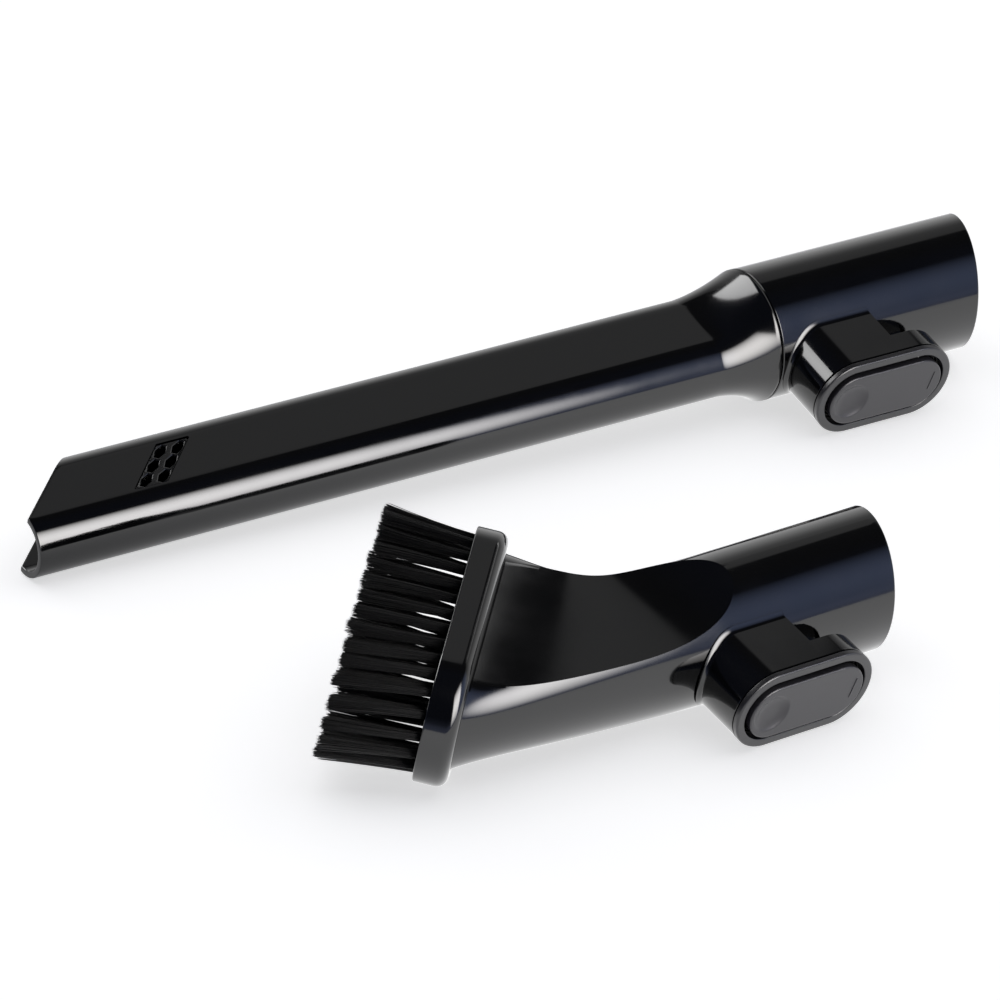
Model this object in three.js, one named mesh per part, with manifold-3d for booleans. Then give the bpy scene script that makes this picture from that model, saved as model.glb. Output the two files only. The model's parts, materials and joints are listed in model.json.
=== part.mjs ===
// Two push-on cleaning tools of a handheld vacuum, lying side by side: a flat crevice nozzle and an
// angled dusting brush. Both end in the same round collar with a rocker latch on its near side.
// Each tool is drawn in its own frame: x runs along the collar axis to the open end, -y points to the
// latch and z is the upper flat side. All lengths are in millimetres.
import * as THREE from 'three';
import { mergeVertices } from 'three/addons/utils/BufferGeometryUtils.js';
import Module from 'manifold-3d';

const wasm = await Module();
wasm.setup();

// collar, the same on both tools
const collarRadius = 18;
const collarWall = 2.4;
const collarBoreRadius = collarRadius - collarWall;
const collarEnd = 44.4;
const collarEndSlope = 0.272;
const collarEdgeRound = 0.5;
const collarEdgeShare = 0.6;
const collarStart = -22.6;
const spigotLength = 1.4;
const spigotStep = 0.1;
const spigotWall = 1.5;
const spigotRadius = collarBoreRadius + spigotStep;
const spigotBoreRadius = spigotRadius - spigotWall;
const boreTaperLength = 4.6;
const partingGap = 0.3;
const partingChamfer = 0.35;

// window in the collar wall, under the overhang of the latch
const windowStart = 5.5;
const windowCentre = 8.2;
const windowRadius = 8.3;

// latch housing and its frame
const latchHalfLength = 21;
const latchHalfWidth = 11.1;
const latchRise = 15.3;
const latchFaceHeight = collarRadius + latchRise;
const latchSeatGap = 0.3;
const overhangStart = 5;
const overhangDepth = 8.3;
const overhangFloor = 1.8;
const bezelHeight = 1.7;
const bezelPartingGap = 0.25;
const bezelRimWidth = 2.4;
const bezelRound = 0.7;
const bezelRoundShare = 0.3;
const bezelSkirtWall = 1;
const bezelSkirtDepth = 1.7;
const bezelSkirtGap = 0.3;
const mouthDepthGap = 0.35;
const cavityGap = 0.6;
const cavityDepth = 9.2;
const cavityStepPosition = 3.4;
const hookSlotStart = 9.4;
const hookSlotEnd = 16.4;
const hookSlotHalfWidth = 3.6;

// release button with its hook
const buttonGap = 1.1;
const buttonRise = 0.9;
const buttonThickness = 2.2;
const buttonEdgeRound = 0.45;
const buttonEdgeShare = 0.3;
const dimpleCentre = -11;
const dimpleRadius = 5.3;
const dimpleDepth = 0.75;
const dashStart = 13.6;
const dashLean = 1.3;
const dashLength = 5.6;
const dashWidth = 0.4;
const dashHeight = 0.15;
const hookStart = 10.5;
const hookEnd = 13.9;
const hookTipGap = 0.3;
const hookRampRise = 3.5;
const hookToeWidth = 1.7;
const hookHalfWidth = 3;
const pivotPosition = -1;
const pivotDepth = 5.4;
const lugRadius = 2.3;
const lugInner = 2.9;
const lugOuter = 5.9;
const pivotHoleRadius = 1.3;
const pinRadius = 1;
const pinHalfLength = 10.2;
const pinHoleEndGap = 0.3;

// wire spring wound round the pivot pin
const wireRadius = 0.3;
const springRadius = 1.65;
const springTurns = 2.5;
const springPitch = 1.1;
const springLegLength = 6;
const springLowerDrop = 1.5;
const springUpperDrop = 0.4;
const springStepsPerTurn = 8;
const springLegSteps = 2;
const wireSides = 5;

// crevice nozzle
const tubeHalfWidth = 16;
const tubeHalfThickness = 8.8;
const tubeWall = 1.8;
const flareStart = -40;
const flarePower = 1.6;
const flareSteps = 7;
const nozzleTip = -244.3;
const nozzleOvercut = 2;
const tipSlope = 1.04;
const tipSquareWidth = 7.2;

// grille insert with its air holes
const grilleCentre = -201.7;
const grilleSlope = 1;
const grillePocketDepth = 1.1;
const grilleThickness = 0.75;
const grilleGap = 0.25;
const grilleSeatGap = 0.05;
const grilleLedge = 0.7;
const airHoleHalfLength = 2.4;
const airHoleHalfWidth = 1.2;
const airHolePitch = 5.2;
const airHoleRowPitch = 4.4;
const airHoleColumns = 2;
const airHoleRows = 3;
const airHoleEndLand = 1.2;
const airHoleSideLand = 0.3;
const grilleHalfLength = ((airHoleColumns - 1) / 2) * airHolePitch + airHoleHalfWidth + airHoleEndLand;
const grilleHalfWidth = ((airHoleRows - 1) / 2) * airHoleRowPitch + airHoleHalfLength + airHoleSideLand;

// brush head, an obround plane turned away from the latch
const headAngle = Math.PI / 4;
const headCentreX = -73.06;
const headCentreOffset = 18.22;
const headHalfLength = 41.5;
const headHalfWidth = 17.4;
const bandDepth = 8.5;
const bandFrontChamfer = 0.6;
const bandBackRound = 3;
const bandBackRoundShare = 0.3;
const bandLip = 1.9;
const bandPocketDepth = 4;
const neckInset = 5;
const neckGap = 0.3;

// brush neck
const neckWall = 2;
const neckWaistHalfThickness = 10;
const spoonStart = -4.2;
const spoonEdgeDepth = 0.12;
const spoonEdgeStep = 0.2;
const waistShare = 0.47;
const spoonPower = 2.55;
const headSwellPower = 2.4;
const neckSections = 15;
const neckSpacingPower = 1.35;
const outerRoundingStartShare = 0.22;
const innerRoundingStartShare = 0.08;
const outerSideReach = 21.8;
const outerHeadReach = 16.7;
const outerHeadDrop = 1.1;
const innerSideReach = 32;
const innerHeadReach = 16.2;

// bristle ring
const carrierGap = 0.3;
const carrierThickness = 1.8;
const carrierWidth = 7.8;
const backingInset = 0.6;
const backingThickness = 1;
const backingGap = 0.3;
const backingEndGap = 0.15;
const bristleLength = 22.6;
const bristleLengthSpread = 1.4;
const bristleRadius = 0.33;
const bristlePitch = 0.95;
const bristleSides = 3;
const bristleRoot = 0.5;
const outerRowInset = 4.4;
const innerRowInset = 7.6;
const tuftsAlongSide = 8;
const outerTuftsRoundEnd = 7;
const innerTuftsRoundEnd = 5;
const tuftRows = [
  { inset: outerRowInset, roundEnd: outerTuftsRoundEnd },
  { inset: innerRowInset, roundEnd: innerTuftsRoundEnd },
];
const strandsRoundTuft = 6;
const tuftTwist = 0.35;

// fineness of the curved outlines
const roundSteps = 24;
const latchRoundSteps = 16;
const sideSteps = 12;
const flatSteps = 4;
const dimpleRings = 3;
const hexSides = 6;
const weldDistance = 0.0001;

// resting poses and the place of the brush beside the nozzle
const nozzleRoll = THREE.MathUtils.degToRad(13.4);
const nozzleTilt = THREE.MathUtils.degToRad(1.95);
const brushRoll = THREE.MathUtils.degToRad(12.5);
const brushTilt = THREE.MathUtils.degToRad(0.2);
const brushTurn = THREE.MathUtils.degToRad(5.25);
const brushOffsetX = -117.2;
const brushOffsetY = -135;

const glossShell = { color: 0x0b0c0e, roughness: 0.16, metalness: 0 };
const satinShell = { color: 0x111214, roughness: 0.34, metalness: 0 };
const softButton = { color: 0x15161a, roughness: 0.42, metalness: 0 };
const bristleNylon = { color: 0x0a0a0b, roughness: 0.5, metalness: 0 };
const steel = { color: 0xb9bcc0, roughness: 0.3, metalness: 0.9 };

// closed body through rings of points: open ends are capped, or the last ring joins the first
function ringBody(rings, joined) {
  const count = rings[0].length;
  const points = rings.flat();
  const faces = [];
  const spans = joined ? rings.length : rings.length - 1;
  for (let ring = 0; ring < spans; ring += 1) {
    const here = ring * count;
    const there = ((ring + 1) % rings.length) * count;
    for (let step = 0; step < count; step += 1) {
      const next = (step + 1) % count;
      faces.push(here + step, here + next, there + next);
      faces.push(here + step, there + next, there + step);
    }
  }
  if (!joined) {
    const lastStart = (rings.length - 1) * count;
    for (const [start, turned] of [[0, true], [lastStart, false]]) {
      const middle = new THREE.Vector3();
      for (let step = 0; step < count; step += 1) {
        middle.addScaledVector(points[start + step], 1 / count);
      }
      points.push(middle);
      for (let step = 0; step < count; step += 1) {
        const next = (step + 1) % count;
        const pair = turned ? [start + next, start + step] : [start + step, start + next];
        faces.push(points.length - 1, pair[0], pair[1]);
      }
    }
  }
  const geometry = new THREE.BufferGeometry();
  geometry.setFromPoints(points);
  geometry.setIndex(faces);
  return facingOut(geometry);
}

// turns the faces over where the body is inside out
function facingOut(geometry) {
  const position = geometry.getAttribute('position');
  const index = geometry.index.array;
  const corners = [new THREE.Vector3(), new THREE.Vector3(), new THREE.Vector3()];
  let volume = 0;
  for (let face = 0; face < index.length; face += 3) {
    corners.forEach((corner, place) => corner.fromBufferAttribute(position, index[face + place]));
    volume += corners[0].dot(corners[1].clone().cross(corners[2]));
  }
  if (volume < 0) {
    for (let face = 0; face < index.length; face += 3) {
      const held = index[face + 1];
      index[face + 1] = index[face + 2];
      index[face + 2] = held;
    }
  }
  return geometry;
}

function toSolid(geometry) {
  const bare = geometry.clone();
  bare.deleteAttribute('normal');
  bare.deleteAttribute('uv');
  const welded = mergeVertices(bare, weldDistance);
  const mesh = new wasm.Mesh({
    numProp: 3,
    vertProperties: welded.getAttribute('position').array,
    triVerts: Uint32Array.from(welded.index.array),
  });
  return new wasm.Manifold(mesh);
}

function toGeometry(solid) {
  const mesh = solid.getMesh();
  const geometry = new THREE.BufferGeometry();
  const places = [];
  for (let corner = 0; corner < mesh.vertProperties.length; corner += mesh.numProp) {
    places.push(mesh.vertProperties[corner], mesh.vertProperties[corner + 1], mesh.vertProperties[corner + 2]);
  }
  geometry.setAttribute('position', new THREE.Float32BufferAttribute(places, 3));
  geometry.setIndex(Array.from(mesh.triVerts));
  return geometry;
}

// obround outline with half a step between its points and the flats, so no two points fall together
function obroundLoop(halfLength, halfWidth, steps) {
  const loop = [];
  const straight = halfLength - halfWidth;
  for (let step = 0; step < 2 * steps; step += 1) {
    const angle = ((step + 0.5) / steps) * Math.PI;
    const along = Math.sign(Math.cos(angle)) * straight + halfWidth * Math.cos(angle);
    loop.push([along, halfWidth * Math.sin(angle)]);
  }
  return loop;
}

function latchShape(halfLength, halfWidth) {
  const corners = obroundLoop(halfLength, halfWidth, latchRoundSteps);
  return new THREE.Shape(corners.map(([u, v]) => new THREE.Vector2(u, v)));
}

// block of any outline between two heights
function raisedBlock(shape, bottom, top) {
  const geometry = new THREE.ExtrudeGeometry(shape, { depth: top - bottom, bevelEnabled: false });
  return toSolid(geometry.translate(0, 0, bottom));
}

// body swept round an obround: each profile corner is an inset from the outline and a height
function obroundSweep(halfLength, halfWidth, steps, profile, joined) {
  const rings = profile.map(([inset, height]) => obroundLoop(halfLength - inset, halfWidth - inset, steps)
    .map(([u, v]) => new THREE.Vector3(u, v, height)));
  return toSolid(ringBody(rings, joined));
}

function boxBetween(lowX, highX, lowY, highY, lowZ, highZ) {
  const geometry = new THREE.BoxGeometry(highX - lowX, highY - lowY, highZ - lowZ);
  return toSolid(geometry.translate((lowX + highX) / 2, (lowY + highY) / 2, (lowZ + highZ) / 2));
}

// round bar along y between two ends
function crossBar(radius, lowY, highY, x, z, segments) {
  const geometry = new THREE.CylinderGeometry(radius, radius, highY - lowY, segments);
  return toSolid(geometry.translate(x, (lowY + highY) / 2, z));
}

// heights of the latch pieces above the collar axis, set down from the outer face of the latch
const pivotHeight = latchFaceHeight - pivotDepth;
const overhangHeight = latchFaceHeight - overhangDepth;
const cavityFloorHeight = latchFaceHeight - cavityDepth;
const hookTipHeight = collarBoreRadius + hookTipGap;
const hookRampHeight = hookTipHeight + hookRampRise;

// latch parts: u runs along the collar, v across and w outward from the collar axis
function latchParts() {
  const bezelBottom = latchFaceHeight - bezelHeight;
  const skirtBottom = bezelBottom - bezelSkirtDepth;
  const openingInset = bezelRimWidth;
  const skirtInset = bezelRimWidth - bezelSkirtWall;
  const bezel = obroundSweep(latchHalfLength, latchHalfWidth, latchRoundSteps, [
    [bezelRound, latchFaceHeight],
    [bezelRound * bezelRoundShare, latchFaceHeight - bezelRound * bezelRoundShare],
    [0, latchFaceHeight - bezelRound],
    [0, bezelBottom],
    [skirtInset, bezelBottom],
    [skirtInset, skirtBottom],
    [openingInset, skirtBottom],
    [openingInset, latchFaceHeight],
  ], true);

  const saddleRadius = collarRadius + latchSeatGap;
  const housingTop = bezelBottom - bezelPartingGap;
  const mouthInset = skirtInset - bezelSkirtGap;
  const mouthBottom = skirtBottom - mouthDepthGap;
  const outline = latchShape(latchHalfLength, latchHalfWidth);
  const cavityInset = bezelRimWidth + buttonGap - cavityGap;
  const cavityShape = latchShape(latchHalfLength - cavityInset, latchHalfWidth - cavityInset);
  const mouthShape = latchShape(latchHalfLength - mouthInset, latchHalfWidth - mouthInset);
  const deepCavity = raisedBlock(cavityShape, cavityFloorHeight, latchFaceHeight).intersect(boxBetween(
    -latchHalfLength, cavityStepPosition, -latchHalfWidth, latchHalfWidth, cavityFloorHeight, latchFaceHeight,
  ));
  const saddle = new THREE.CylinderGeometry(saddleRadius, saddleRadius, 4 * latchHalfLength, 2 * roundSteps);
  let housing = raisedBlock(outline, 0, housingTop);
  housing = housing.subtract(toSolid(saddle.rotateZ(Math.PI / 2)));
  housing = housing.subtract(boxBetween(
    overhangStart, 2 * latchHalfLength, -2 * latchHalfWidth, 2 * latchHalfWidth, 0, overhangHeight,
  ));
  housing = housing.subtract(raisedBlock(mouthShape, mouthBottom, latchFaceHeight));
  housing = housing.subtract(raisedBlock(cavityShape, overhangHeight + overhangFloor, latchFaceHeight));
  housing = housing.subtract(deepCavity);
  housing = housing.subtract(boxBetween(
    hookSlotStart, hookSlotEnd, -hookSlotHalfWidth, hookSlotHalfWidth, 0, latchFaceHeight,
  ));
  const pinHoleReach = pinHalfLength + pinHoleEndGap;
  housing = housing.subtract(
    crossBar(pivotHoleRadius, -pinHoleReach, pinHoleReach, pivotPosition, pivotHeight, latchRoundSteps),
  );

  const buttonTop = latchFaceHeight + buttonRise;
  const buttonBottom = buttonTop - buttonThickness;
  const buttonInset = bezelRimWidth + buttonGap;
  let button = obroundSweep(latchHalfLength - buttonInset, latchHalfWidth - buttonInset, latchRoundSteps, [
    [0, buttonBottom],
    [0, buttonTop - buttonEdgeRound],
    [buttonEdgeRound * buttonEdgeShare, buttonTop - buttonEdgeRound * buttonEdgeShare],
    [buttonEdgeRound, buttonTop],
  ], false);
  button = button.subtract(dimpleBody(buttonTop));
  button = button.add(dashBody(buttonTop));
  const hookOutline = new THREE.Shape([
    new THREE.Vector2(hookStart, hookTipHeight),
    new THREE.Vector2(hookStart + hookToeWidth, hookTipHeight),
    new THREE.Vector2(hookEnd, hookRampHeight),
    new THREE.Vector2(hookEnd, buttonBottom + buttonEdgeRound),
    new THREE.Vector2(hookStart, buttonBottom + buttonEdgeRound),
  ]);
  button = button.add(crosswisePlate(hookOutline, -hookHalfWidth, hookHalfWidth));
  for (const side of [-1, 1]) {
    const near = Math.min(side * lugInner, side * lugOuter);
    const far = Math.max(side * lugInner, side * lugOuter);
    let lug = crossBar(lugRadius, near, far, pivotPosition, pivotHeight, latchRoundSteps);
    lug = lug.add(boxBetween(
      pivotPosition - lugRadius, pivotPosition + lugRadius, near, far, pivotHeight, buttonBottom + buttonEdgeRound,
    ));
    lug = lug.subtract(crossBar(
      pivotHoleRadius, near - lugRadius, far + lugRadius, pivotPosition, pivotHeight, latchRoundSteps,
    ));
    button = button.add(lug);
  }

  const pin = crossBar(pinRadius, -pinHalfLength, pinHalfLength, pivotPosition, pivotHeight, latchRoundSteps);
  return { housing, bezel, button, pin, spring: toSolid(springBody()) };
}

// shallow spherical hollow for the finger
function dimpleBody(top) {
  const ballRadius = (dimpleRadius ** 2 + dimpleDepth ** 2) / (2 * dimpleDepth);
  const opening = Math.asin(dimpleRadius / ballRadius);
  const profile = [new THREE.Vector2(0, -dimpleDepth)];
  for (let ring = 1; ring <= dimpleRings; ring += 1) {
    const angle = (opening * ring) / dimpleRings;
    profile.push(new THREE.Vector2(ballRadius * Math.sin(angle),
      ballRadius - dimpleDepth - ballRadius * Math.cos(angle)));
  }
  profile.push(new THREE.Vector2(dimpleRadius, dimpleDepth));
  profile.push(new THREE.Vector2(0, dimpleDepth));
  const geometry = new THREE.LatheGeometry(profile, latchRoundSteps);
  geometry.rotateX(Math.PI / 2);
  return toSolid(facingOut(mergeVertices(bareGeometry(geometry), weldDistance)).translate(dimpleCentre, 0, top));
}

function bareGeometry(geometry) {
  geometry.deleteAttribute('normal');
  geometry.deleteAttribute('uv');
  return geometry;
}

// thin raised dash near the hook end
function dashBody(top) {
  const outline = new THREE.Shape([
    new THREE.Vector2(dashStart, -dashLength / 2),
    new THREE.Vector2(dashStart + dashWidth, -dashLength / 2),
    new THREE.Vector2(dashStart + dashLean + dashWidth, dashLength / 2),
    new THREE.Vector2(dashStart + dashLean, dashLength / 2),
  ]);
  return raisedBlock(outline, top - dashHeight, top + dashHeight);
}

// plate whose outline lies in the u-w plane and whose thickness runs across
function crosswisePlate(shape, low, high) {
  const geometry = new THREE.ExtrudeGeometry(shape, { depth: high - low, bevelEnabled: false });
  geometry.translate(0, 0, -high);
  return toSolid(geometry.rotateX(Math.PI / 2));
}

// two and a half turns round the pin, with a leg on the floor and a leg under the button
function springBody() {
  const points = [];
  const lead = springPitch / (2 * Math.PI);
  const endAngle = 2 * Math.PI * springTurns;
  const coilStart = -lead * endAngle / 2;
  for (let step = springLegSteps; step > 0; step -= 1) {
    const share = step / springLegSteps;
    points.push(new THREE.Vector3(pivotPosition - share * springLegLength, coilStart,
      pivotHeight - springRadius - share * springLowerDrop));
  }
  const coilSteps = springStepsPerTurn * springTurns;
  for (let step = 0; step <= coilSteps; step += 1) {
    const angle = (endAngle * step) / coilSteps;
    points.push(new THREE.Vector3(pivotPosition + springRadius * Math.sin(angle), coilStart + lead * angle,
      pivotHeight - springRadius * Math.cos(angle)));
  }
  for (let step = 1; step <= springLegSteps; step += 1) {
    const share = step / springLegSteps;
    points.push(new THREE.Vector3(pivotPosition - share * springLegLength, -coilStart,
      pivotHeight + springRadius - share * springUpperDrop));
  }
  const corners = [];
  for (let side = 0; side < wireSides; side += 1) {
    const angle = (side / wireSides) * 2 * Math.PI;
    corners.push(new THREE.Vector2(wireRadius * Math.cos(angle), wireRadius * Math.sin(angle)));
  }
  return new THREE.ExtrudeGeometry(new THREE.Shape(corners), {
    steps: coilSteps + 2 * springLegSteps + springStepsPerTurn,
    bevelEnabled: false,
    extrudePath: new THREE.CatmullRomCurve3(points, false, 'centripetal'),
  });
}

// window through the near wall of the collar, in the tool frame
function windowBody() {
  const corners = [new THREE.Vector2(windowStart, windowRadius), new THREE.Vector2(windowStart, -windowRadius)];
  for (let step = 0; step <= latchRoundSteps; step += 1) {
    const angle = (step / latchRoundSteps - 0.5) * Math.PI;
    corners.push(new THREE.Vector2(windowCentre + windowRadius * Math.cos(angle), windowRadius * Math.sin(angle)));
  }
  const geometry = new THREE.ExtrudeGeometry(new THREE.Shape(corners), { depth: collarRadius, bevelEnabled: false });
  return toSolid(geometry.translate(0, 0, spigotBoreRadius / 2).rotateX(Math.PI / 2));
}

// ring round the x axis in the order of an obround loop, with an oblique end where a slope is given
function roundRing(x, radius, slope) {
  const loop = obroundLoop(radius, radius, roundSteps);
  return loop.map(([y, z]) => new THREE.Vector3(x + slope * y, y, z));
}

function creviceCollar() {
  const taperEnd = collarStart + boreTaperLength;
  const roundStart = collarEnd - collarEdgeRound;
  const rings = [
    roundRing(collarStart, collarRadius - partingChamfer, 0),
    roundRing(collarStart + partingChamfer, collarRadius, 0),
    roundRing(roundStart, collarRadius, collarEndSlope),
    roundRing(collarEnd, collarRadius - collarEdgeRound * collarEdgeShare, collarEndSlope),
    roundRing(collarEnd, collarBoreRadius, collarEndSlope),
    roundRing(taperEnd, collarBoreRadius, 0),
    roundRing(collarStart, spigotBoreRadius, 0),
    roundRing(collarStart - spigotLength, spigotBoreRadius, 0),
    roundRing(collarStart - spigotLength, spigotRadius, 0),
    roundRing(collarStart, spigotRadius, 0),
  ];
  return toSolid(ringBody(rings, true)).subtract(windowBody());
}

function smooth(share) {
  const held = Math.min(Math.max(share, 0), 1);
  return held * held * (3 - 2 * held);
}

// section of the nozzle, shrunk by an inset for the inner side of the wall
function nozzleRing(x, swell, inset) {
  const halfWidth = tubeHalfWidth + (collarRadius - tubeHalfWidth) * swell - inset;
  const halfThickness = tubeHalfThickness + (collarRadius - tubeHalfThickness) * swell - inset;
  const loop = obroundLoop(halfWidth, halfThickness, roundSteps);
  return loop.map(([y, z]) => new THREE.Vector3(x, y, z));
}

function creviceTube() {
  const flareEnd = collarStart - partingGap;
  const socketRadius = spigotRadius + partingGap;
  const socketBottom = collarStart - spigotLength - partingGap;
  const outer = [nozzleRing(nozzleTip - nozzleOvercut, 0, 0)];
  const inner = [nozzleRing(nozzleTip - nozzleOvercut, 0, tubeWall)];
  const chamferStart = flareEnd - partingChamfer;
  for (let step = 0; step <= flareSteps; step += 1) {
    const outerShare = step / flareSteps;
    const outerX = flareStart + (chamferStart - flareStart) * outerShare;
    outer.push(nozzleRing(outerX, outerShare ** flarePower, 0));
    const innerX = flareStart + (socketBottom - flareStart) * outerShare;
    const innerShare = (innerX - flareStart) / (chamferStart - flareStart);
    inner.push(nozzleRing(innerX, innerShare ** flarePower, tubeWall));
  }
  outer.push(roundRing(flareEnd, collarRadius - partingChamfer, 0));
  inner.push(roundRing(socketBottom, socketRadius, 0));
  inner.push(roundRing(flareEnd, socketRadius, 0));
  let tube = toSolid(ringBody([...outer, ...inner.reverse()], true));

  const tipReach = 2 * tubeHalfWidth;
  const tipCut = new THREE.Shape([
    new THREE.Vector2(nozzleTip, -tipReach),
    new THREE.Vector2(nozzleTip, -tipSquareWidth),
    new THREE.Vector2(nozzleTip + tipSlope * (tipReach + tipSquareWidth), tipReach),
    new THREE.Vector2(nozzleTip - tipReach, tipReach),
    new THREE.Vector2(nozzleTip - tipReach, -tipReach),
  ]);
  tube = tube.subtract(raisedBlock(tipCut, -tubeHalfWidth, tubeHalfWidth));
  const pocketFloor = tubeHalfThickness - grillePocketDepth;
  tube = tube.subtract(raisedBlock(slantedShape(0), pocketFloor, 2 * tubeHalfThickness));
  tube = tube.subtract(raisedBlock(slantedShape(grilleGap + grilleLedge), 0, 2 * tubeHalfThickness));
  return tube;
}

// parallelogram of the grille, shrunk by an inset
function slantedShape(inset) {
  const halfLength = grilleHalfLength - inset;
  const halfWidth = grilleHalfWidth - inset;
  return new THREE.Shape([
    new THREE.Vector2(grilleCentre - halfLength - grilleSlope * halfWidth, -halfWidth),
    new THREE.Vector2(grilleCentre + halfLength - grilleSlope * halfWidth, -halfWidth),
    new THREE.Vector2(grilleCentre + halfLength + grilleSlope * halfWidth, halfWidth),
    new THREE.Vector2(grilleCentre - halfLength + grilleSlope * halfWidth, halfWidth),
  ]);
}

// six corners of an air hole drawn out along the slanted rows
function airHoleCorners(x, y) {
  const corners = [];
  const lean = Math.atan(1 / grilleSlope);
  for (let corner = 0; corner < hexSides; corner += 1) {
    const angle = ((corner + 0.5) / hexSides) * 2 * Math.PI;
    const along = (airHoleHalfLength * Math.cos(angle)) / Math.cos(Math.PI / hexSides);
    const across = airHoleHalfWidth * Math.sin(angle);
    corners.push(new THREE.Vector2(
      x + along * Math.cos(lean) - across * Math.sin(lean),
      y + along * Math.sin(lean) + across * Math.cos(lean),
    ));
  }
  return corners;
}

function creviceGrille() {
  const shape = slantedShape(grilleGap);
  for (let column = 0; column < airHoleColumns; column += 1) {
    for (let row = 0; row < airHoleRows; row += 1) {
      const y = (row - (airHoleRows - 1) / 2) * airHoleRowPitch;
      const x = grilleCentre + (column - (airHoleColumns - 1) / 2) * airHolePitch + grilleSlope * y;
      shape.holes.push(new THREE.Path(airHoleCorners(x, y)));
    }
  }
  const bottom = tubeHalfThickness - grillePocketDepth + grilleSeatGap;
  return raisedBlock(shape, bottom, bottom + grilleThickness);
}

// head frame: u along the long side, v across it and w out along the bristles
function headMatrix() {
  const out = new THREE.Vector3(-Math.cos(headAngle), Math.sin(headAngle), 0);
  const along = new THREE.Vector3(-Math.sin(headAngle), -Math.cos(headAngle), 0);
  const across = new THREE.Vector3(0, 0, 1);
  const matrix = new THREE.Matrix4().makeBasis(along, across, out);
  return matrix.setPosition(headCentreX, headCentreOffset, 0);
}

// section of the neck: an arc at each side and two flats. A side as round as the half thickness leaves
// no edge beside the flats, and a wider arc meets them at an edge
function neckLoop(halfLength, sideRadii, halfThickness, flatOnRound) {
  const corners = sideRadii.map((radius) => Math.asin(Math.min(halfThickness / radius, 1)));
  const ends = sideRadii.map((radius, index) => halfLength - radius * (1 - Math.cos(corners[index])));
  const loop = [];
  [1, -1].forEach((side, index) => {
    const radius = sideRadii[index];
    const corner = corners[index];
    for (let step = 0; step <= sideSteps; step += 1) {
      const angle = corner * ((2 * step) / sideSteps - 1);
      loop.push([side * (halfLength - radius * (1 - Math.cos(angle))), side * radius * Math.sin(angle)]);
    }
    for (let step = 1; step < flatSteps; step += 1) {
      const share = step / flatSteps;
      const angle = corner + (Math.PI - 2 * corner) * share;
      const rounded = [side * radius * Math.cos(angle), side * radius * Math.sin(angle)];
      const flat = [side * (ends[index] * (1 - share) - ends[1 - index] * share), side * halfThickness];
      loop.push(flatOnRound ? rounded : flat);
    }
  });
  return loop;
}

// ring of the neck at a share of the way to the head, in the tool frame
function neckRing(share, inset) {
  const out = new THREE.Vector2(-Math.cos(headAngle), Math.sin(headAngle));
  const along = new THREE.Vector2(-Math.sin(headAngle), -Math.cos(headAngle));
  const endHalfLength = headHalfLength - neckInset;
  const endCentre = new THREE.Vector2(headCentreX, headCentreOffset).addScaledVector(out, -bandDepth);
  const nearEnd = endCentre.clone().addScaledVector(along, endHalfLength);
  const farEnd = endCentre.clone().addScaledVector(along, -endHalfLength);
  const near = new THREE.CubicBezierCurve(
    new THREE.Vector2(spoonStart, -collarRadius),
    new THREE.Vector2(spoonStart - outerSideReach, -collarRadius),
    new THREE.Vector2(nearEnd.x + outerHeadReach, nearEnd.y - outerHeadDrop),
    nearEnd,
  ).getPoint(share);
  const far = new THREE.CubicBezierCurve(
    new THREE.Vector2(spoonStart, collarRadius),
    new THREE.Vector2(spoonStart - innerSideReach, collarRadius),
    farEnd.clone().addScaledVector(out, -innerHeadReach),
    farEnd,
  ).getPoint(share);
  const middle = near.clone().add(far).multiplyScalar(0.5);
  const halfLength = near.distanceTo(far) / 2;
  const direction = near.clone().sub(far).normalize();
  const headHalfThickness = headHalfWidth - neckInset;
  const spoonFall = Math.max(1 - share / waistShare, 0) ** spoonPower;
  const headRise = Math.max((share - waistShare) / (1 - waistShare), 0) ** headSwellPower;
  const startHalfThickness = collarRadius - spoonEdgeDepth;
  const halfThickness = neckWaistHalfThickness
    + (startHalfThickness - neckWaistHalfThickness) * spoonFall
    + (headHalfThickness - neckWaistHalfThickness) * headRise;
  const sideRadii = [outerRoundingStartShare, innerRoundingStartShare].map((startShare) => {
    const rounding = smooth((share - startShare) / (1 - startShare));
    return collarRadius + (halfThickness - collarRadius) * rounding - inset;
  });
  return neckLoop(halfLength - inset, sideRadii, halfThickness - inset, false)
    .map(([u, v]) => new THREE.Vector3(middle.x + direction.x * u, middle.y + direction.y * u, v));
}

// ring of the brush collar that keeps the point order of the neck rings
function neckCollarRing(x, radius, slope) {
  const cut = collarRadius - spoonEdgeDepth;
  return neckLoop(radius, [radius, radius], (cut * radius) / collarRadius, true)
    .map(([u, v]) => new THREE.Vector3(x - slope * u, -u, v));
}

function brushNeck() {
  const out = new THREE.Vector3(-Math.cos(headAngle), Math.sin(headAngle), 0);
  const pushIn = bandDepth - bandPocketDepth;
  const outer = [neckRing(1, 0).map((point) => point.addScaledVector(out, pushIn))];
  const inner = [neckRing(1, neckWall).map((point) => point.addScaledVector(out, pushIn))];
  for (let section = neckSections; section >= 0; section -= 1) {
    const share = (section / neckSections) ** neckSpacingPower;
    outer.push(neckRing(share, 0));
    inner.push(neckRing(share, neckWall));
  }
  const collarFrom = spoonStart + spoonEdgeStep;
  const boreInset = collarRadius - collarBoreRadius;
  outer.push(neckCollarRing(collarFrom, collarRadius, 0));
  outer.push(neckCollarRing(collarEnd - collarEdgeRound, collarRadius, collarEndSlope));
  outer.push(neckCollarRing(collarEnd, collarRadius - collarEdgeRound * collarEdgeShare, collarEndSlope));
  inner.push(neckCollarRing(collarFrom + boreInset, collarBoreRadius, 0));
  inner.push(neckCollarRing(collarEnd, collarBoreRadius, collarEndSlope));
  return toSolid(ringBody([...outer, ...inner.reverse()], true)).subtract(windowBody());
}

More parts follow.
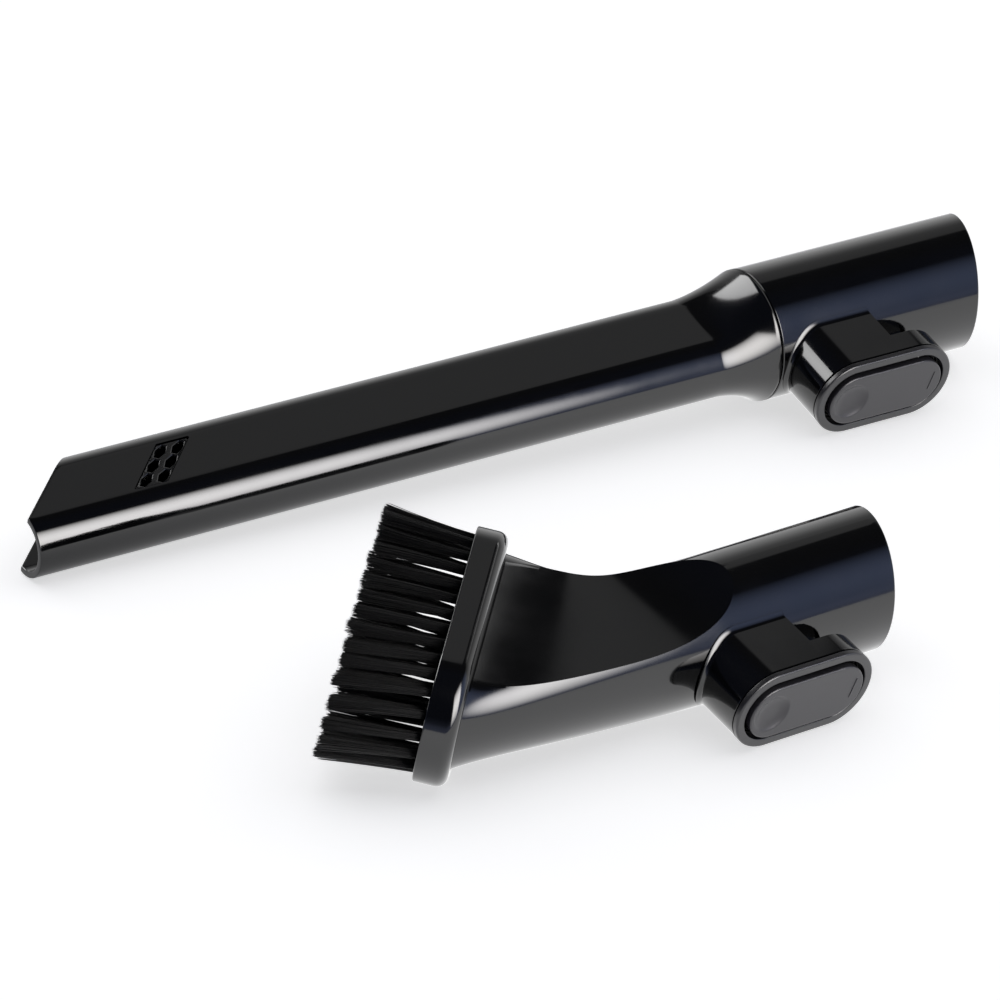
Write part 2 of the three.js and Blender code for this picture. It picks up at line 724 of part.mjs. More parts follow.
function rimBand() {
  const openingInset = neckInset - neckGap;
  return obroundSweep(headHalfLength, headHalfWidth, roundSteps, [
    [bandFrontChamfer, 0],
    [0, -bandFrontChamfer],
    [0, -(bandDepth - bandBackRound)],
    [bandBackRound * bandBackRoundShare, -(bandDepth - bandBackRound * bandBackRoundShare)],
    [bandBackRound, -bandDepth],
    [openingInset, -bandDepth],
    [openingInset, -bandPocketDepth],
    [bandLip, -bandPocketDepth],
    [bandLip, 0],
  ], true);
}

function bristleCarrier() {
  const bottom = -bandPocketDepth + carrierGap;
  const outerInset = bandLip + carrierGap;
  return obroundSweep(headHalfLength, headHalfWidth, roundSteps, [
    [outerInset, bottom],
    [outerInset, bottom + carrierThickness],
    [outerInset + carrierWidth, bottom + carrierThickness],
    [outerInset + carrierWidth, bottom],
  ], true);
}

// even spread between 0 and 1 that repeats every time
function spread(seed) {
  const value = Math.sin(seed * 12.9898) * 43758.5453;
  return value - Math.floor(value);
}

// places of the tufts on one of the four sides of the ring
function tuftPlaces(sideName) {
  const straight = headHalfLength - headHalfWidth;
  const places = [];
  for (const row of tuftRows) {
    const radius = headHalfWidth - row.inset;
    const isEnd = sideName === 'near' || sideName === 'far';
    const count = isEnd ? row.roundEnd : tuftsAlongSide;
    for (let tuft = 0; tuft < count; tuft += 1) {
      const share = (tuft + 0.5) / count;
      const angle = (share - 0.5) * Math.PI;
      if (sideName === 'near') {
        places.push([straight + radius * Math.cos(angle), radius * Math.sin(angle)]);
      } else if (sideName === 'far') {
        places.push([-straight - radius * Math.cos(angle), radius * Math.sin(angle)]);
      } else {
        const side = sideName === 'upper' ? 1 : -1;
        places.push([(2 * share - 1) * straight, side * radius]);
      }
    }
  }
  return places;
}

// one side of the bristle ring: its slice of backing with the strands fused to it
function bristleSide(sideName, seedStart) {
  const straight = headHalfLength - headHalfWidth - backingEndGap;
  const reach = 2 * headHalfLength;
  const bottom = -bandPocketDepth + carrierGap + carrierThickness + backingGap;
  const top = bottom + backingThickness;
  const outerInset = bandLip + carrierGap + backingInset;
  const innerInset = bandLip + carrierGap + carrierWidth - backingInset;
  const ring = obroundSweep(headHalfLength, headHalfWidth, roundSteps, [
    [outerInset, bottom],
    [outerInset, top],
    [innerInset, top],
    [innerInset, bottom],
  ], true);
  const farStart = straight + 2 * backingEndGap;
  const cutters = {
    near: [farStart, reach, -reach, reach],
    far: [-reach, -farStart, -reach, reach],
    upper: [-straight, straight, 0, reach],
    lower: [-straight, straight, -reach, 0],
  };
  let body = ring.intersect(boxBetween(...cutters[sideName], bottom - backingGap, top + backingGap));
  const strands = [];
  tuftPlaces(sideName).forEach(([u, v], tuft) => {
    for (let strand = 0; strand <= strandsRoundTuft; strand += 1) {
      const seed = seedStart + tuft * (strandsRoundTuft + 1) + strand;
      const angle = (strand / strandsRoundTuft) * 2 * Math.PI + tuftTwist * tuft;
      const away = strand === strandsRoundTuft ? 0 : bristlePitch;
      const length = bristleLength + (spread(seed) - 0.5) * bristleLengthSpread;
      const low = top - bristleRoot;
      const geometry = new THREE.CylinderGeometry(bristleRadius, bristleRadius, length - low, bristleSides);
      geometry.rotateX(Math.PI / 2);
      geometry.translate(u + away * Math.cos(angle), v + away * Math.sin(angle), (length + low) / 2);
      strands.push(toSolid(geometry));
    }
  });
  for (const strand of strands) {
    body = body.add(strand);
  }
  return body;
}

const parts = [];
function place(name, solid, surface, matrices) {
  const geometry = solid.isBufferGeometry ? solid : toGeometry(solid);
  for (const matrix of matrices) {
    geometry.applyMatrix4(matrix);
  }
  const mesh = new THREE.Mesh(geometry, new THREE.MeshStandardMaterial(surface));
  mesh.name = name;
  parts.push(mesh);
  return mesh;
}

// the tool lies on its latch, its collar and its far end
function restMatrix(roll, tilt, turn) {
  const rolled = new THREE.Matrix4().makeRotationX(roll);
  const tilted = new THREE.Matrix4().makeRotationY(-tilt);
  const turned = new THREE.Matrix4().makeRotationZ(turn);
  return turned.multiply(tilted).multiply(rolled);
}

const latchFrame = new THREE.Matrix4().makeRotationX(Math.PI / 2);
const nozzleRest = restMatrix(nozzleRoll, nozzleTilt, 0);
const brushRest = restMatrix(brushRoll, brushTilt, brushTurn);
const headFrame = headMatrix();

function addLatch(prefix, rest) {
  const latch = latchParts();
  return [
    place(`${prefix}_latch_housing`, latch.housing, glossShell, [latchFrame, rest]),
    place(`${prefix}_latch_bezel`, latch.bezel, satinShell, [latchFrame, rest]),
    place(`${prefix}_release_button`, latch.button, softButton, [latchFrame, rest]),
    place(`${prefix}_pivot_pin`, latch.pin, steel, [latchFrame, rest]),
    place(`${prefix}_return_spring`, latch.spring, steel, [latchFrame, rest]),
  ];
}

function setDown(meshes, x, y) {
  const box = new THREE.Box3();
  for (const mesh of meshes) {
    mesh.geometry.computeBoundingBox();
    box.union(mesh.geometry.boundingBox);
  }
  for (const mesh of meshes) {
    mesh.geometry.translate(x, y, -box.min.z);
  }
}

const nozzleMeshes = [
  place('crevice_tube', creviceTube(), glossShell, [nozzleRest]),
  place('crevice_vent_grille', creviceGrille(), satinShell, [nozzleRest]),
  place('crevice_collar', creviceCollar(), glossShell, [nozzleRest]),
  ...addLatch('crevice', nozzleRest),
];
const brushMeshes = [
  place('brush_neck', brushNeck(), glossShell, [brushRest]),
  ...addLatch('brush', brushRest),
  place('brush_rim_band', rimBand(), glossShell, [headFrame, brushRest]),
  place('brush_bristle_carrier', bristleCarrier(), satinShell, [headFrame, brushRest]),
];
const seedStep = 1000;
['near', 'far', 'upper', 'lower'].forEach((sideName, order) => {
  const bristles = bristleSide(sideName, (order + 1) * seedStep);
  brushMeshes.push(place(`brush_bristles_${sideName}`, bristles, bristleNylon, [headFrame, brushRest]));
});
setDown(nozzleMeshes, 0, 0);
setDown(brushMeshes, brushOffsetX, brushOffsetY);

const whole = new THREE.Group();
whole.name = 'vacuum_cleaning_tools';
const allBox = new THREE.Box3();
for (const mesh of parts) {
  mesh.geometry.computeBoundingBox();
  allBox.union(mesh.geometry.boundingBox);
}
const middle = allBox.getCenter(new THREE.Vector3());
for (const mesh of parts) {
  mesh.geometry.translate(-middle.x, -middle.y, 0);
  mesh.geometry.computeVertexNormals();
  whole.add(mesh);
}

export default whole;
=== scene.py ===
import json
import math

import bpy
import numpy as np
from mathutils import Matrix, Vector


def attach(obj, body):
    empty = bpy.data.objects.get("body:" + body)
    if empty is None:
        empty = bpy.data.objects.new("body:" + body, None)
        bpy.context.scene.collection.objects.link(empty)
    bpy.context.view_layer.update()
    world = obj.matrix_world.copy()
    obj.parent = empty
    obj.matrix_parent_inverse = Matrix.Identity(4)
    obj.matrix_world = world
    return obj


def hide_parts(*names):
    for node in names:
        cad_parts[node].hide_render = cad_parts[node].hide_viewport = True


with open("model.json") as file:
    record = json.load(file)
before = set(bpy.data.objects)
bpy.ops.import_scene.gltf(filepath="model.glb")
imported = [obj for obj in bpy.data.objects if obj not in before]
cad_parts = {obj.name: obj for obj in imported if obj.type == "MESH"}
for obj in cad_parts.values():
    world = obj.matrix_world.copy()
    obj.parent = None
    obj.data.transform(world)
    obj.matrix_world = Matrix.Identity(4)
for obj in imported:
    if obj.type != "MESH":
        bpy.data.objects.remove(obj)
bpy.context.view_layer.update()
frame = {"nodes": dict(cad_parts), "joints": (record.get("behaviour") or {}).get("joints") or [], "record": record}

MM = 0.001

# Collar, shared by both tools, in millimetres. Each tool is worked out in its own frame:
# x along the collar to the open end, -y towards the latch, z towards the upper flat side.
COLLAR_RADIUS = 18.0
BORE_RADIUS = 15.6
COLLAR_END = 44.4
END_SLOPE = 0.272
COLLAR_START = -22.6
SPIGOT_LENGTH = 1.4
SPIGOT_RADIUS = 15.7
SPIGOT_BORE_RADIUS = 14.2
BORE_TAPER = 4.6
PARTING_GAP = 0.3
LIP_ROUND = 0.55
WINDOW_START = 5.5
WINDOW_CENTRE = 8.2
WINDOW_RADIUS = 8.3
WINDOW_HEIGHTS = (8.0, 26.0)

# Latch
LATCH_HALF_LENGTH = 21.0
LATCH_HALF_WIDTH = 11.1
LATCH_FACE = 33.3
SADDLE_GAP = 0.06
OVERHANG_START = 5.0
OVERHANG_HEIGHT = 25.0
OVERHANG_FLOOR = 1.8
BEZEL_HEIGHT = 1.7
BEZEL_GAP = 0.25
BEZEL_RIM = 2.4
SKIRT_WALL = 1.0
SKIRT_DEPTH = 1.7
SKIRT_GAP = 0.3
MOUTH_GAP = 0.35
CAVITY_GAP = 0.6
CAVITY_FLOOR = 24.1
CAVITY_STEP = 3.4
BUTTON_GAP = 1.1
BUTTON_RISE = 0.9
BUTTON_THICKNESS = 2.2
DIMPLE_CENTRE = -11.0
DIMPLE_RADIUS = 5.3
DIMPLE_DEPTH = 1.0
DASH_START = 13.6
DASH_LEAN = 1.3
DASH_LENGTH = 5.6
DASH_WIDTH = 0.4
DASH_HEIGHT = 0.15
HOOK_START = 10.5
HOOK_END = 13.9
HOOK_TIP = 15.9
HOOK_RAMP = 19.4
HOOK_TOE = 1.7
HOOK_HALF_WIDTH = 3.0
HOOK_SLOT = (9.4, 16.4)
HOOK_SLOT_HALF_WIDTH = 3.6
PIVOT_ALONG = -1.0
PIVOT_HEIGHT = 27.9
LUG_RADIUS = 2.3
LUG_SPAN = (2.9, 5.9)
PIVOT_HOLE_RADIUS = 1.3
PIN_HALF_LENGTH = 10.2

# Crevice nozzle
TUBE_HALF_WIDTH = 16.0
TUBE_HALF_THICKNESS = 8.8
TUBE_WALL = 1.8
FLARE_START = -40.0
FLARE_ROUND = -23.5
FLARE_POWER = 1.6
TIP = -244.3
TIP_SLOPE = 1.04
TIP_SQUARE_WIDTH = 7.2
GRILLE_CENTRE = -201.7
GRILLE_HALF_LENGTH = 5.0
GRILLE_HALF_WIDTH = 7.1
GRILLE_SLOPE = 1.0
POCKET_DEPTH = 1.1
GRILLE_THICKNESS = 0.75
GRILLE_GAP = 0.25
GRILLE_SEAT = 0.05
GRILLE_LEDGE = 0.7
HOLE_HALF_LENGTH = 2.4
HOLE_HALF_WIDTH = 1.2
HOLE_STRETCH = 1.22
HOLE_PITCH = 5.2
HOLE_ROW_PITCH = 4.4

# Brush head and neck
HEAD_ANGLE = math.pi / 4
HEAD_CENTRE = (-73.06, 18.22)
HEAD_HALF_LENGTH = 41.5
HEAD_HALF_WIDTH = 17.4
BAND_DEPTH = 8.5
BAND_BACK_ROUND = 3.0
BAND_LIP = 1.9
BAND_POCKET = 4.0
NECK_INSET = 5.0
NECK_GAP = 0.3
NECK_WALL = 2.0
NECK_WAIST = 10.0
SPOON_START = -4.2
SPOON_EDGE = 0.12
SPOON_STEP = 0.2
WAIST_SHARE = 0.47
SPOON_POWER = 2.55
SWELL_POWER = 2.4
ROUNDING_SHARES = (0.22, 0.08)
OUTER_SIDE_REACH = 21.8
OUTER_HEAD_REACH = 16.7
OUTER_HEAD_DROP = 1.1
INNER_SIDE_REACH = 32.0
INNER_HEAD_REACH = 16.2
CARRIER_GAP = 0.3
CARRIER_THICKNESS = 1.8
CARRIER_WIDTH = 7.8
BACKING_INSET = 0.1
BACKING_THICKNESS = 1.0
BACKING_GAP = 0.3
BACKING_END_GAP = 0.15
BRISTLE_LENGTH = 22.6


def linear(hex_colour):
    """Linear red, green, blue and alpha of an sRGB hex colour."""
    parts = [int(hex_colour[i:i + 2], 16) / 255 for i in (1, 3, 5)]
    return [p / 12.92 if p <= 0.04045 else ((p + 0.055) / 1.055) ** 2.4 for p in parts] + [1.0]


def tool_frame(tool):
    """Origin in mm and axes as rows. z is the latch hinge's axis turned over. The open end's normal is
    turned about z by the lean of the oblique end to give x. The hinge is PIVOT_ALONG, -PIVOT_HEIGHT, 0."""
    hinge = next(j for j in frame["joints"] if j["name"] == f"{tool}_button_press")
    mount = next(m for m in frame["record"]["mounts"] if m["name"] == f"{tool}_socket_end")
    up = -np.array(hinge["axis"], float)
    normal = np.array(mount["axis"], float)
    lean = math.atan(END_SLOPE)
    along = math.cos(lean) * normal + math.sin(lean) * np.cross(up, normal)
    axes = np.stack([along, np.cross(up, along), up])
    pivot = np.array(hinge["pos_m"], float) / MM
    return pivot - np.array([PIVOT_ALONG, -PIVOT_HEIGHT, 0.0]) @ axes, axes


FRAMES = {tool: tool_frame(tool) for tool in ("crevice", "brush")}


def from_latch(points):
    """Latch places (u along, v across, w outward) in the tool's frame: x is u, y is -w and z is v."""
    return np.stack([points[..., 0], -points[..., 2], points[..., 1]], -1)


def from_head(points):
    """Head places (u along the long side, v across, w out along the bristles) in the brush's frame."""
    turn = math.sin(HEAD_ANGLE)
    x = HEAD_CENTRE[0] - turn * points[..., 0] - turn * points[..., 2]
    y = HEAD_CENTRE[1] - turn * points[..., 0] + turn * points[..., 2]
    return np.stack([x, y, points[..., 1]], -1)


def smooth(share):
    """Share held between 0 and 1 and eased at both ends: 3s^2 - 2s^3."""
    held = np.clip(share, 0.0, 1.0)
    return held * held * (3 - 2 * held)


def obround(half_length, half_width, arc_steps=40, flat_steps=10):
    """Loop of an obround: arcs of half_width about two centres, joined by two divided flats."""
    straight = max(half_length - half_width, 1e-3)
    angle = np.linspace(-math.pi / 2, math.pi / 2, arc_steps + 1)
    flat = np.linspace(straight, -straight, flat_steps + 1)[1:-1]
    right = np.stack([straight + half_width * np.cos(angle), half_width * np.sin(angle)], -1)
    top = np.stack([flat, np.full_like(flat, half_width)], -1)
    half = np.concatenate([right, top])
    return np.concatenate([half, -half])


def ring(radius, arc_steps=40, flat_steps=10):
    """Circle whose points pair with those of an obround: the same count, starting at the same place."""
    count = arc_steps + flat_steps
    start = -math.pi / 2 * arc_steps / count
    angle = start + np.arange(2 * count) * math.pi / count
    return radius * np.stack([np.cos(angle), np.sin(angle)], -1)


def rounded(corners, radii, steps=6):
    """Closed outline with each corner replaced by an arc that is tangent to its two sides."""
    p = np.array(corners, float)
    radius = np.broadcast_to(np.array(radii, float), len(p))[:, None]
    back = np.roll(p, 1, 0) - p
    ahead = np.roll(p, -1, 0) - p
    back /= np.linalg.norm(back, axis=1, keepdims=True)
    ahead /= np.linalg.norm(ahead, axis=1, keepdims=True)
    half = 0.5 * np.arccos(np.clip((back * ahead).sum(1, keepdims=True), -1, 1))
    reach = radius / np.tan(half)
    middle = back + ahead
    middle /= np.linalg.norm(middle, axis=1, keepdims=True)
    centre = p + middle * radius / np.sin(half)
    first = p + back * reach - centre
    last = p + ahead * reach - centre
    turn = (math.pi - 2 * half)[:, None]
    t = np.linspace(0, 1, steps)[None, :, None]
    arcs = (np.sin((1 - t) * turn) * first[:, None] + np.sin(t * turn) * last[:, None]) / np.sin(turn)
    return (arcs + centre[:, None]).reshape(-1, 2)


def sweep_obround(half_length, half_width, profile, arc_steps=40, flat_steps=10):
    """Rows of an obround, one for each profile point (inset from the outline, height)."""
    rows = [obround(half_length - inset, half_width - inset, arc_steps, flat_steps) for inset, _ in profile]
    heights = np.array([height for _, height in profile])[:, None, None]
    return np.concatenate([np.array(rows), np.broadcast_to(heights, (len(profile), len(rows[0]), 1))], -1)


def at_height(outline, height):
    """The outline's points with one height as their third coordinate."""
    return np.column_stack([outline, np.full(len(outline), height)])


def grid_faces(rows, cols, close_rows):
    """Quads of a grid whose columns close on themselves, and its rows too if close_rows is set."""
    row = np.arange(rows if close_rows else rows - 1)[:, None]
    col = np.arange(cols)[None, :]
    below, beside = (row + 1) % rows, (col + 1) % cols
    corners = [row * cols + col, row * cols + beside, below * cols + beside, below * cols + col]
    return np.stack([np.broadcast_to(c, (len(row), cols)) for c in corners], -1).reshape(-1, 4)


def cap_faces(start, cols, pole):
    """Triangles from one end row of a grid to its pole."""
    col = np.arange(cols)
    return np.stack([start + col, start + (col + 1) % cols, np.full(cols, pole)], -1)


def closed_grid(grid, close_rows):
    """Vertices and faces of a closed body: the last row meets the first, or each end has a pole."""
    rows, cols = grid.shape[:2]
    points = grid.reshape(-1, 3)
    quads = grid_faces(rows, cols, close_rows)
    if close_rows:
        return points, [quads]
    points = np.concatenate([points, grid[:1].mean(1), grid[-1:].mean(1)])
    low = cap_faces(0, cols, rows * cols)[:, ::-1]
    high = cap_faces((rows - 1) * cols, cols, rows * cols + 1)
    return points, [quads, low, high]


def facing_out(points, faces):
    """The same faces, turned over where the body they close is inside out."""
    volume = 0.0
    for block in faces:
        for step in range(1, block.shape[1] - 1):
            a, b, c = points[block[:, 0]], points[block[:, step]], points[block[:, step + 1]]
            volume += (a * np.cross(b, c)).sum()
    return faces if volume > 0 else [block[:, ::-1] for block in faces]


def make_piece(name, bodies, tool, sharp=32):
    """Object in the row frame from (points, faces) bodies given in the tool's frame in millimetres."""
    origin, axes = FRAMES[tool]
    points, faces, start = [], [], 0
    for body_points, body_faces in bodies:
        turned = facing_out(body_points, body_faces)
        points.append((origin + body_points @ axes) * MM)
        faces += [block + start for block in turned]
        start += len(body_points)
    points = np.concatenate(points)
    loops = np.concatenate([block.ravel() for block in faces])
    sizes = np.concatenate([np.full(len(block), block.shape[1]) for block in faces])
    mesh = bpy.data.meshes.new(name)
    mesh.vertices.add(len(points))
    mesh.vertices.foreach_set("co", points.astype(np.float32).ravel())
    mesh.loops.add(len(loops))
    mesh.loops.foreach_set("vertex_index", loops.astype(np.int32))
    mesh.polygons.add(len(sizes))
    mesh.polygons.foreach_set("loop_start", (np.cumsum(sizes) - sizes).astype(np.int32))
    mesh.update(calc_edges=True)
    mesh.validate()
    piece = bpy.data.objects.new(name, mesh)
    bpy.context.scene.collection.objects.link(piece)
    soften(piece, sharp)
    return piece


def soften(piece, sharp):
    """Smooth shading with edges kept sharp past an angle in degrees."""
    piece.data.polygons.foreach_set("use_smooth", np.ones(len(piece.data.polygons), bool))
    piece.data.set_sharp_from_angle(angle=math.radians(sharp))


def cut(piece, name, bodies, tool, sharp=32):
    """Takes the bodies, as one cutter of that name, out of the piece."""
    cutter = make_piece(name, bodies, tool)
    modifier = piece.modifiers.new(name, "BOOLEAN")
    modifier.operation = "DIFFERENCE"
    modifier.solver = "EXACT"
    modifier.object = cutter
    with bpy.context.temp_override(object=piece, active_object=piece, selected_objects=[piece]):
        bpy.ops.object.modifier_apply(modifier=name)
    bpy.data.objects.remove(cutter)
    soften(piece, sharp)


def finish_piece(piece, look, body, *nodes):
    """The piece gets the material of its look, rides on its body and stands for its nodes. Face-weighted
    normals keep a long flat or round face true beside its small rounds, so that it mirrors the lamps
    straight."""
    material, slot = look
    piece.data.materials.clear()
    piece.data.materials.append(material)
    if look is not NYLON:
        weights = piece.modifiers.new("long faces lead", "WEIGHTED_NORMAL")
        weights.keep_sharp = True
    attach(piece, body)
    if nodes:
        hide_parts(*nodes)


# Materials


def add_node(tree, kind, settings=None, **links):
    """Adds a shader node. settings holds attributes and, by socket name, values; links joins inputs to
    other nodes' outputs."""
    node = tree.nodes.new(kind)
    for key, value in (settings or {}).items():
        if key in node.inputs:
            node.inputs[key].default_value = value
        else:
            setattr(node, key, value)
    for key, output in links.items():
        tree.links.new(output, node.inputs[key])
    return node


def maths(tree, operation, *values, kind="ShaderNodeMath", output="Value"):
    """Output of a math node whose inputs take, in order, other outputs or plain values."""
    node = add_node(tree, kind, {"operation": operation})
    for socket, value in zip(node.inputs, values):
        if isinstance(value, bpy.types.NodeSocket):
            tree.links.new(value, socket)
        else:
            socket.default_value = value
    return node.outputs[output]


def map_range(tree, value, start, end, low=0.0, high=1.0, interpolation="LINEAR"):
    """Value at start becomes low and at end becomes high, held beyond both."""
    settings = {"interpolation_type": interpolation, "From Min": start, "From Max": end,
                "To Min": low, "To Max": high}
    return add_node(tree, "ShaderNodeMapRange", settings, Value=value).outputs["Result"]


def start_material(name):
    """New material with its node tree, its shader and the Object place that its patterns lie on."""
    material = bpy.data.materials.new(name)
    material.use_nodes = True
    tree = material.node_tree
    place = add_node(tree, "ShaderNodeTexCoord").outputs["Object"]
    return material, tree, tree.nodes["Principled BSDF"], place


def noise(tree, place, size_mm, detail, roughness=0.5):
    """Noise whose blotches are about size_mm across."""
    settings = {"Scale": 1 / (size_mm * MM), "Detail": detail, "Roughness": roughness}
    return add_node(tree, "ShaderNodeTexNoise", settings, Vector=place).outputs["Fac"]


def vary(tree, shader, pattern, roughness, colours, start=0.3, end=0.7):
    """The pattern moves the shader between two roughnesses and between two colours."""
    spread = map_range(tree, pattern, start, end, *roughness)
    tree.links.new(spread, shader.inputs["Roughness"])
    tint = add_node(tree, "ShaderNodeMix", {"data_type": "RGBA"}, Factor=pattern)
    tint.inputs[6].default_value = linear(colours[0])
    tint.inputs[7].default_value = linear(colours[1])
    tree.links.new(tint.outputs[2], shader.inputs["Base Color"])


def moulded_plastic(name, colours, roughness, grain_mm, grain_depth, smear, ior=1.5):
    """Injection-moulded plastic. Fine grain comes from the mould's wall, and a slow change of roughness
    is the faint flow and handling haze that breaks up long reflections."""
    material, tree, shader, place = start_material(name)
    shader.inputs["IOR"].default_value = ior
    haze = noise(tree, place, 14, 3.0, 0.55)
    vary(tree, shader, haze, (roughness - smear, roughness + smear), colours)
    grain = noise(tree, place, grain_mm, 2.0)
    bump = add_node(tree, "ShaderNodeBump", {"Strength": 1.0, "Distance": grain_depth * MM}, Height=grain)
    tree.links.new(bump.outputs["Normal"], shader.inputs["Normal"])
    return material


def gloss_abs():
    """High-gloss black ABS from a polished mould: mirror-like, with soft-edged lamps and hardly any grain."""
    return moulded_plastic("polished black ABS", ("#07080a", "#0a0a0d"), 0.10, 2.6, 0.0012, 0.03, 1.53)


def satin_abs():
    """Lightly textured black ABS on small fittings: the same colour, with a broader and duller shine."""
    return moulded_plastic("satin black ABS", ("#1d1c20", "#242327"), 0.34, 0.35, 0.004, 0.04, 1.5)


def grille_abs():
    """Black ABS of the small vent plate: between satin and gloss, so that its bars stay dark."""
    return moulded_plastic("semi-gloss black ABS", ("#09090b", "#0e0e10"), 0.22, 0.5, 0.003, 0.04, 1.5)


def button_plastic():
    """Fine-textured grey-black ABS of a finger button: a broad even sheen that hides finger marks."""
    return moulded_plastic("fine-textured button ABS", ("#232127", "#29272d"), 0.40, 0.28, 0.006, 0.03, 1.5)


def bristle_nylon():
    """Drawn black nylon filament: dark, with a narrow shine along each strand and dull cut tips."""
    material, tree, shader, place = start_material("drawn black nylon filament")
    shader.inputs["IOR"].default_value = 1.53
    shader.inputs["Specular IOR Level"].default_value = 0.14
    vary(tree, shader, noise(tree, place, 0.7, 2.0), (0.36, 0.5), ("#020203", "#060607"))
    return material


def drawn_steel():
    """Bright drawn steel of a pin or spring wire: metallic, with fine lines that blur what it mirrors."""
    material, tree, shader, place = start_material("bright drawn steel")
    shader.inputs["Metallic"].default_value = 1.0
    vary(tree, shader, noise(tree, place, 0.2, 3.0), (0.18, 0.36), ("#b4b7bb", "#c9ccd0"), 0.0, 1.0)
    return material


# Looks: a material and the slot that it goes by
GLOSS = (gloss_abs(), "gloss_shell")
SATIN = (satin_abs(), "satin_trim")
GRILLE_BLACK = (grille_abs(), "satin_trim")
BUTTON = (button_plastic(), "satin_button")
NYLON = (bristle_nylon(), "bristle_nylon")
STEEL = drawn_steel()


# Crevice nozzle


def tip_cut(y):
    """x of the nozzle's end at y: square beside the latch side, then slanting back at TIP_SLOPE."""
    return TIP + TIP_SLOPE * np.maximum(y + TIP_SQUARE_WIDTH, 0.0)


def tube_section(swell, inset, arc_steps, flat_steps):
    """Loop between the flat tube's obround and the round collar's circle, by swell, less an inset."""
    flat = obround(TUBE_HALF_WIDTH - inset, TUBE_HALF_THICKNESS - inset, arc_steps, flat_steps)
    return flat * (1 - swell) + ring(COLLAR_RADIUS - inset, arc_steps, flat_steps) * swell


def crevice_tube():
    """Shell of the flat nozzle: one closed wall, out along the outside and back along the inside.
    A straight section from the slanted tip to the flare, then a trumpet swell that steepens up to an edge
    beside the round end."""
    steps = (44, 24)
    flare_end = COLLAR_START - PARTING_GAP
    socket_bottom = COLLAR_START - SPIGOT_LENGTH - PARTING_GAP
    edge = 0.35

    def across(x, loop):
        return np.column_stack([np.full(len(loop), x), loop])

    def tip_row(inset, back):
        y, z = tube_section(0.0, inset, *steps).T
        return np.stack([tip_cut(y) + back, y, z], -1)

    def straight_rows(inset, shares):
        y, z = tube_section(0.0, inset, *steps).T
        start = tip_cut(y) + edge
        x = start + (FLARE_START - start) * np.array(shares)[:, None]
        return [np.stack([row, y, z], -1) for row in x]

    def flare_rows(end, inset, count):
        shares = np.linspace(0, 1, count + 1)[1:]
        xs = FLARE_START + (end - FLARE_START) * shares
        swells = np.minimum((xs - FLARE_START) / (FLARE_ROUND - FLARE_START), 1.0) ** FLARE_POWER
        return [across(x, tube_section(swell, inset, *steps)) for x, swell in zip(xs, swells)]

    shares = np.linspace(0, 1, 60) ** 1.15
    outer = [tip_row(edge, 0.0), tip_row(edge * 0.3, edge * 0.3)]
    outer += straight_rows(0.0, shares)
    outer += flare_rows(flare_end - 0.4, 0.0, 40)
    outer += [across(flare_end - 0.12, ring(COLLAR_RADIUS - 0.12, *steps)),
              across(flare_end, ring(COLLAR_RADIUS - 0.4, *steps))]
    inner = [tip_row(TUBE_WALL - edge, 0.0), tip_row(TUBE_WALL - edge * 0.3, edge * 0.3)]
    inner += straight_rows(TUBE_WALL, shares[::3])
    inner += flare_rows(socket_bottom, TUBE_WALL, 14)
    socket = ring(SPIGOT_RADIUS + PARTING_GAP, *steps)
    inner += [across(socket_bottom, socket), across(flare_end, socket)]
    grid = np.array(outer + inner[::-1])
    return make_piece("crevice_tube_shell", [closed_grid(grid, True)], "crevice")


def slanted_block(inset, *heights):
    """Upright block on the grille's parallelogram, its corners rounded, as one row for each height."""
    half_length, half_width = GRILLE_HALF_LENGTH - inset, GRILLE_HALF_WIDTH - inset
    corners = [(GRILLE_CENTRE + sx * half_length + GRILLE_SLOPE * sy * half_width, sy * half_width)
               for sx, sy in ((-1, -1), (1, -1), (1, 1), (-1, 1))]
    outline = rounded(corners, 0.4)
    return np.array([at_height(outline, height) for height in heights])


def cut_grille_pocket(tube):
    """A shallow pocket in the upper flat for the grille, and an opening through the wall inside a ledge."""
    above = TUBE_HALF_THICKNESS + 3
    for name, inset, bottom in (("pocket", 0.0, TUBE_HALF_THICKNESS - POCKET_DEPTH),
                                ("opening", GRILLE_GAP + GRILLE_LEDGE, 0.0)):
        cut(tube, name, [closed_grid(slanted_block(inset, bottom, above), False)], "crevice")


def vent_grille():
    """Slanted plate with rounded rim and six stretched hexagonal holes, each with a flared mouth."""
    bottom = TUBE_HALF_THICKNESS - POCKET_DEPTH + GRILLE_SEAT
    top = bottom + GRILLE_THICKNESS
    rim = 0.22
    rows = [slanted_block(GRILLE_GAP + inset, height)[0]
            for inset, height in ((0.0, bottom), (0.0, top - rim), (rim * 0.3, top - rim * 0.3), (rim, top))]
    plate = make_piece("crevice_grille_plate", [closed_grid(np.array(rows), False)], "crevice")
    lean = math.atan(1 / GRILLE_SLOPE)
    corner = (np.arange(6) + 0.5) * math.pi / 3
    along = HOLE_HALF_LENGTH * np.cos(corner) / math.cos(math.pi / 6)
    across = HOLE_HALF_WIDTH * np.sin(corner)
    hexagon = np.stack([HOLE_STRETCH * (along * math.cos(lean) - across * math.sin(lean)),
                        along * math.sin(lean) + across * math.cos(lean)], -1)
    profile = ((1.0, bottom - 1), (1.0, top - 0.18), (1.16, top + 0.001), (1.16, top + 1))
    holes = []
    for column in (-0.5, 0.5):
        for row in (-1, 0, 1):
            y = row * HOLE_ROW_PITCH
            centre = np.array([GRILLE_CENTRE + column * HOLE_PITCH + GRILLE_SLOPE * y, y])
            grid = np.array([at_height(centre + hexagon * scale, height) for scale, height in profile])
            holes.append(closed_grid(grid, False))
    cut(plate, "holes", holes, "crevice")
    return plate


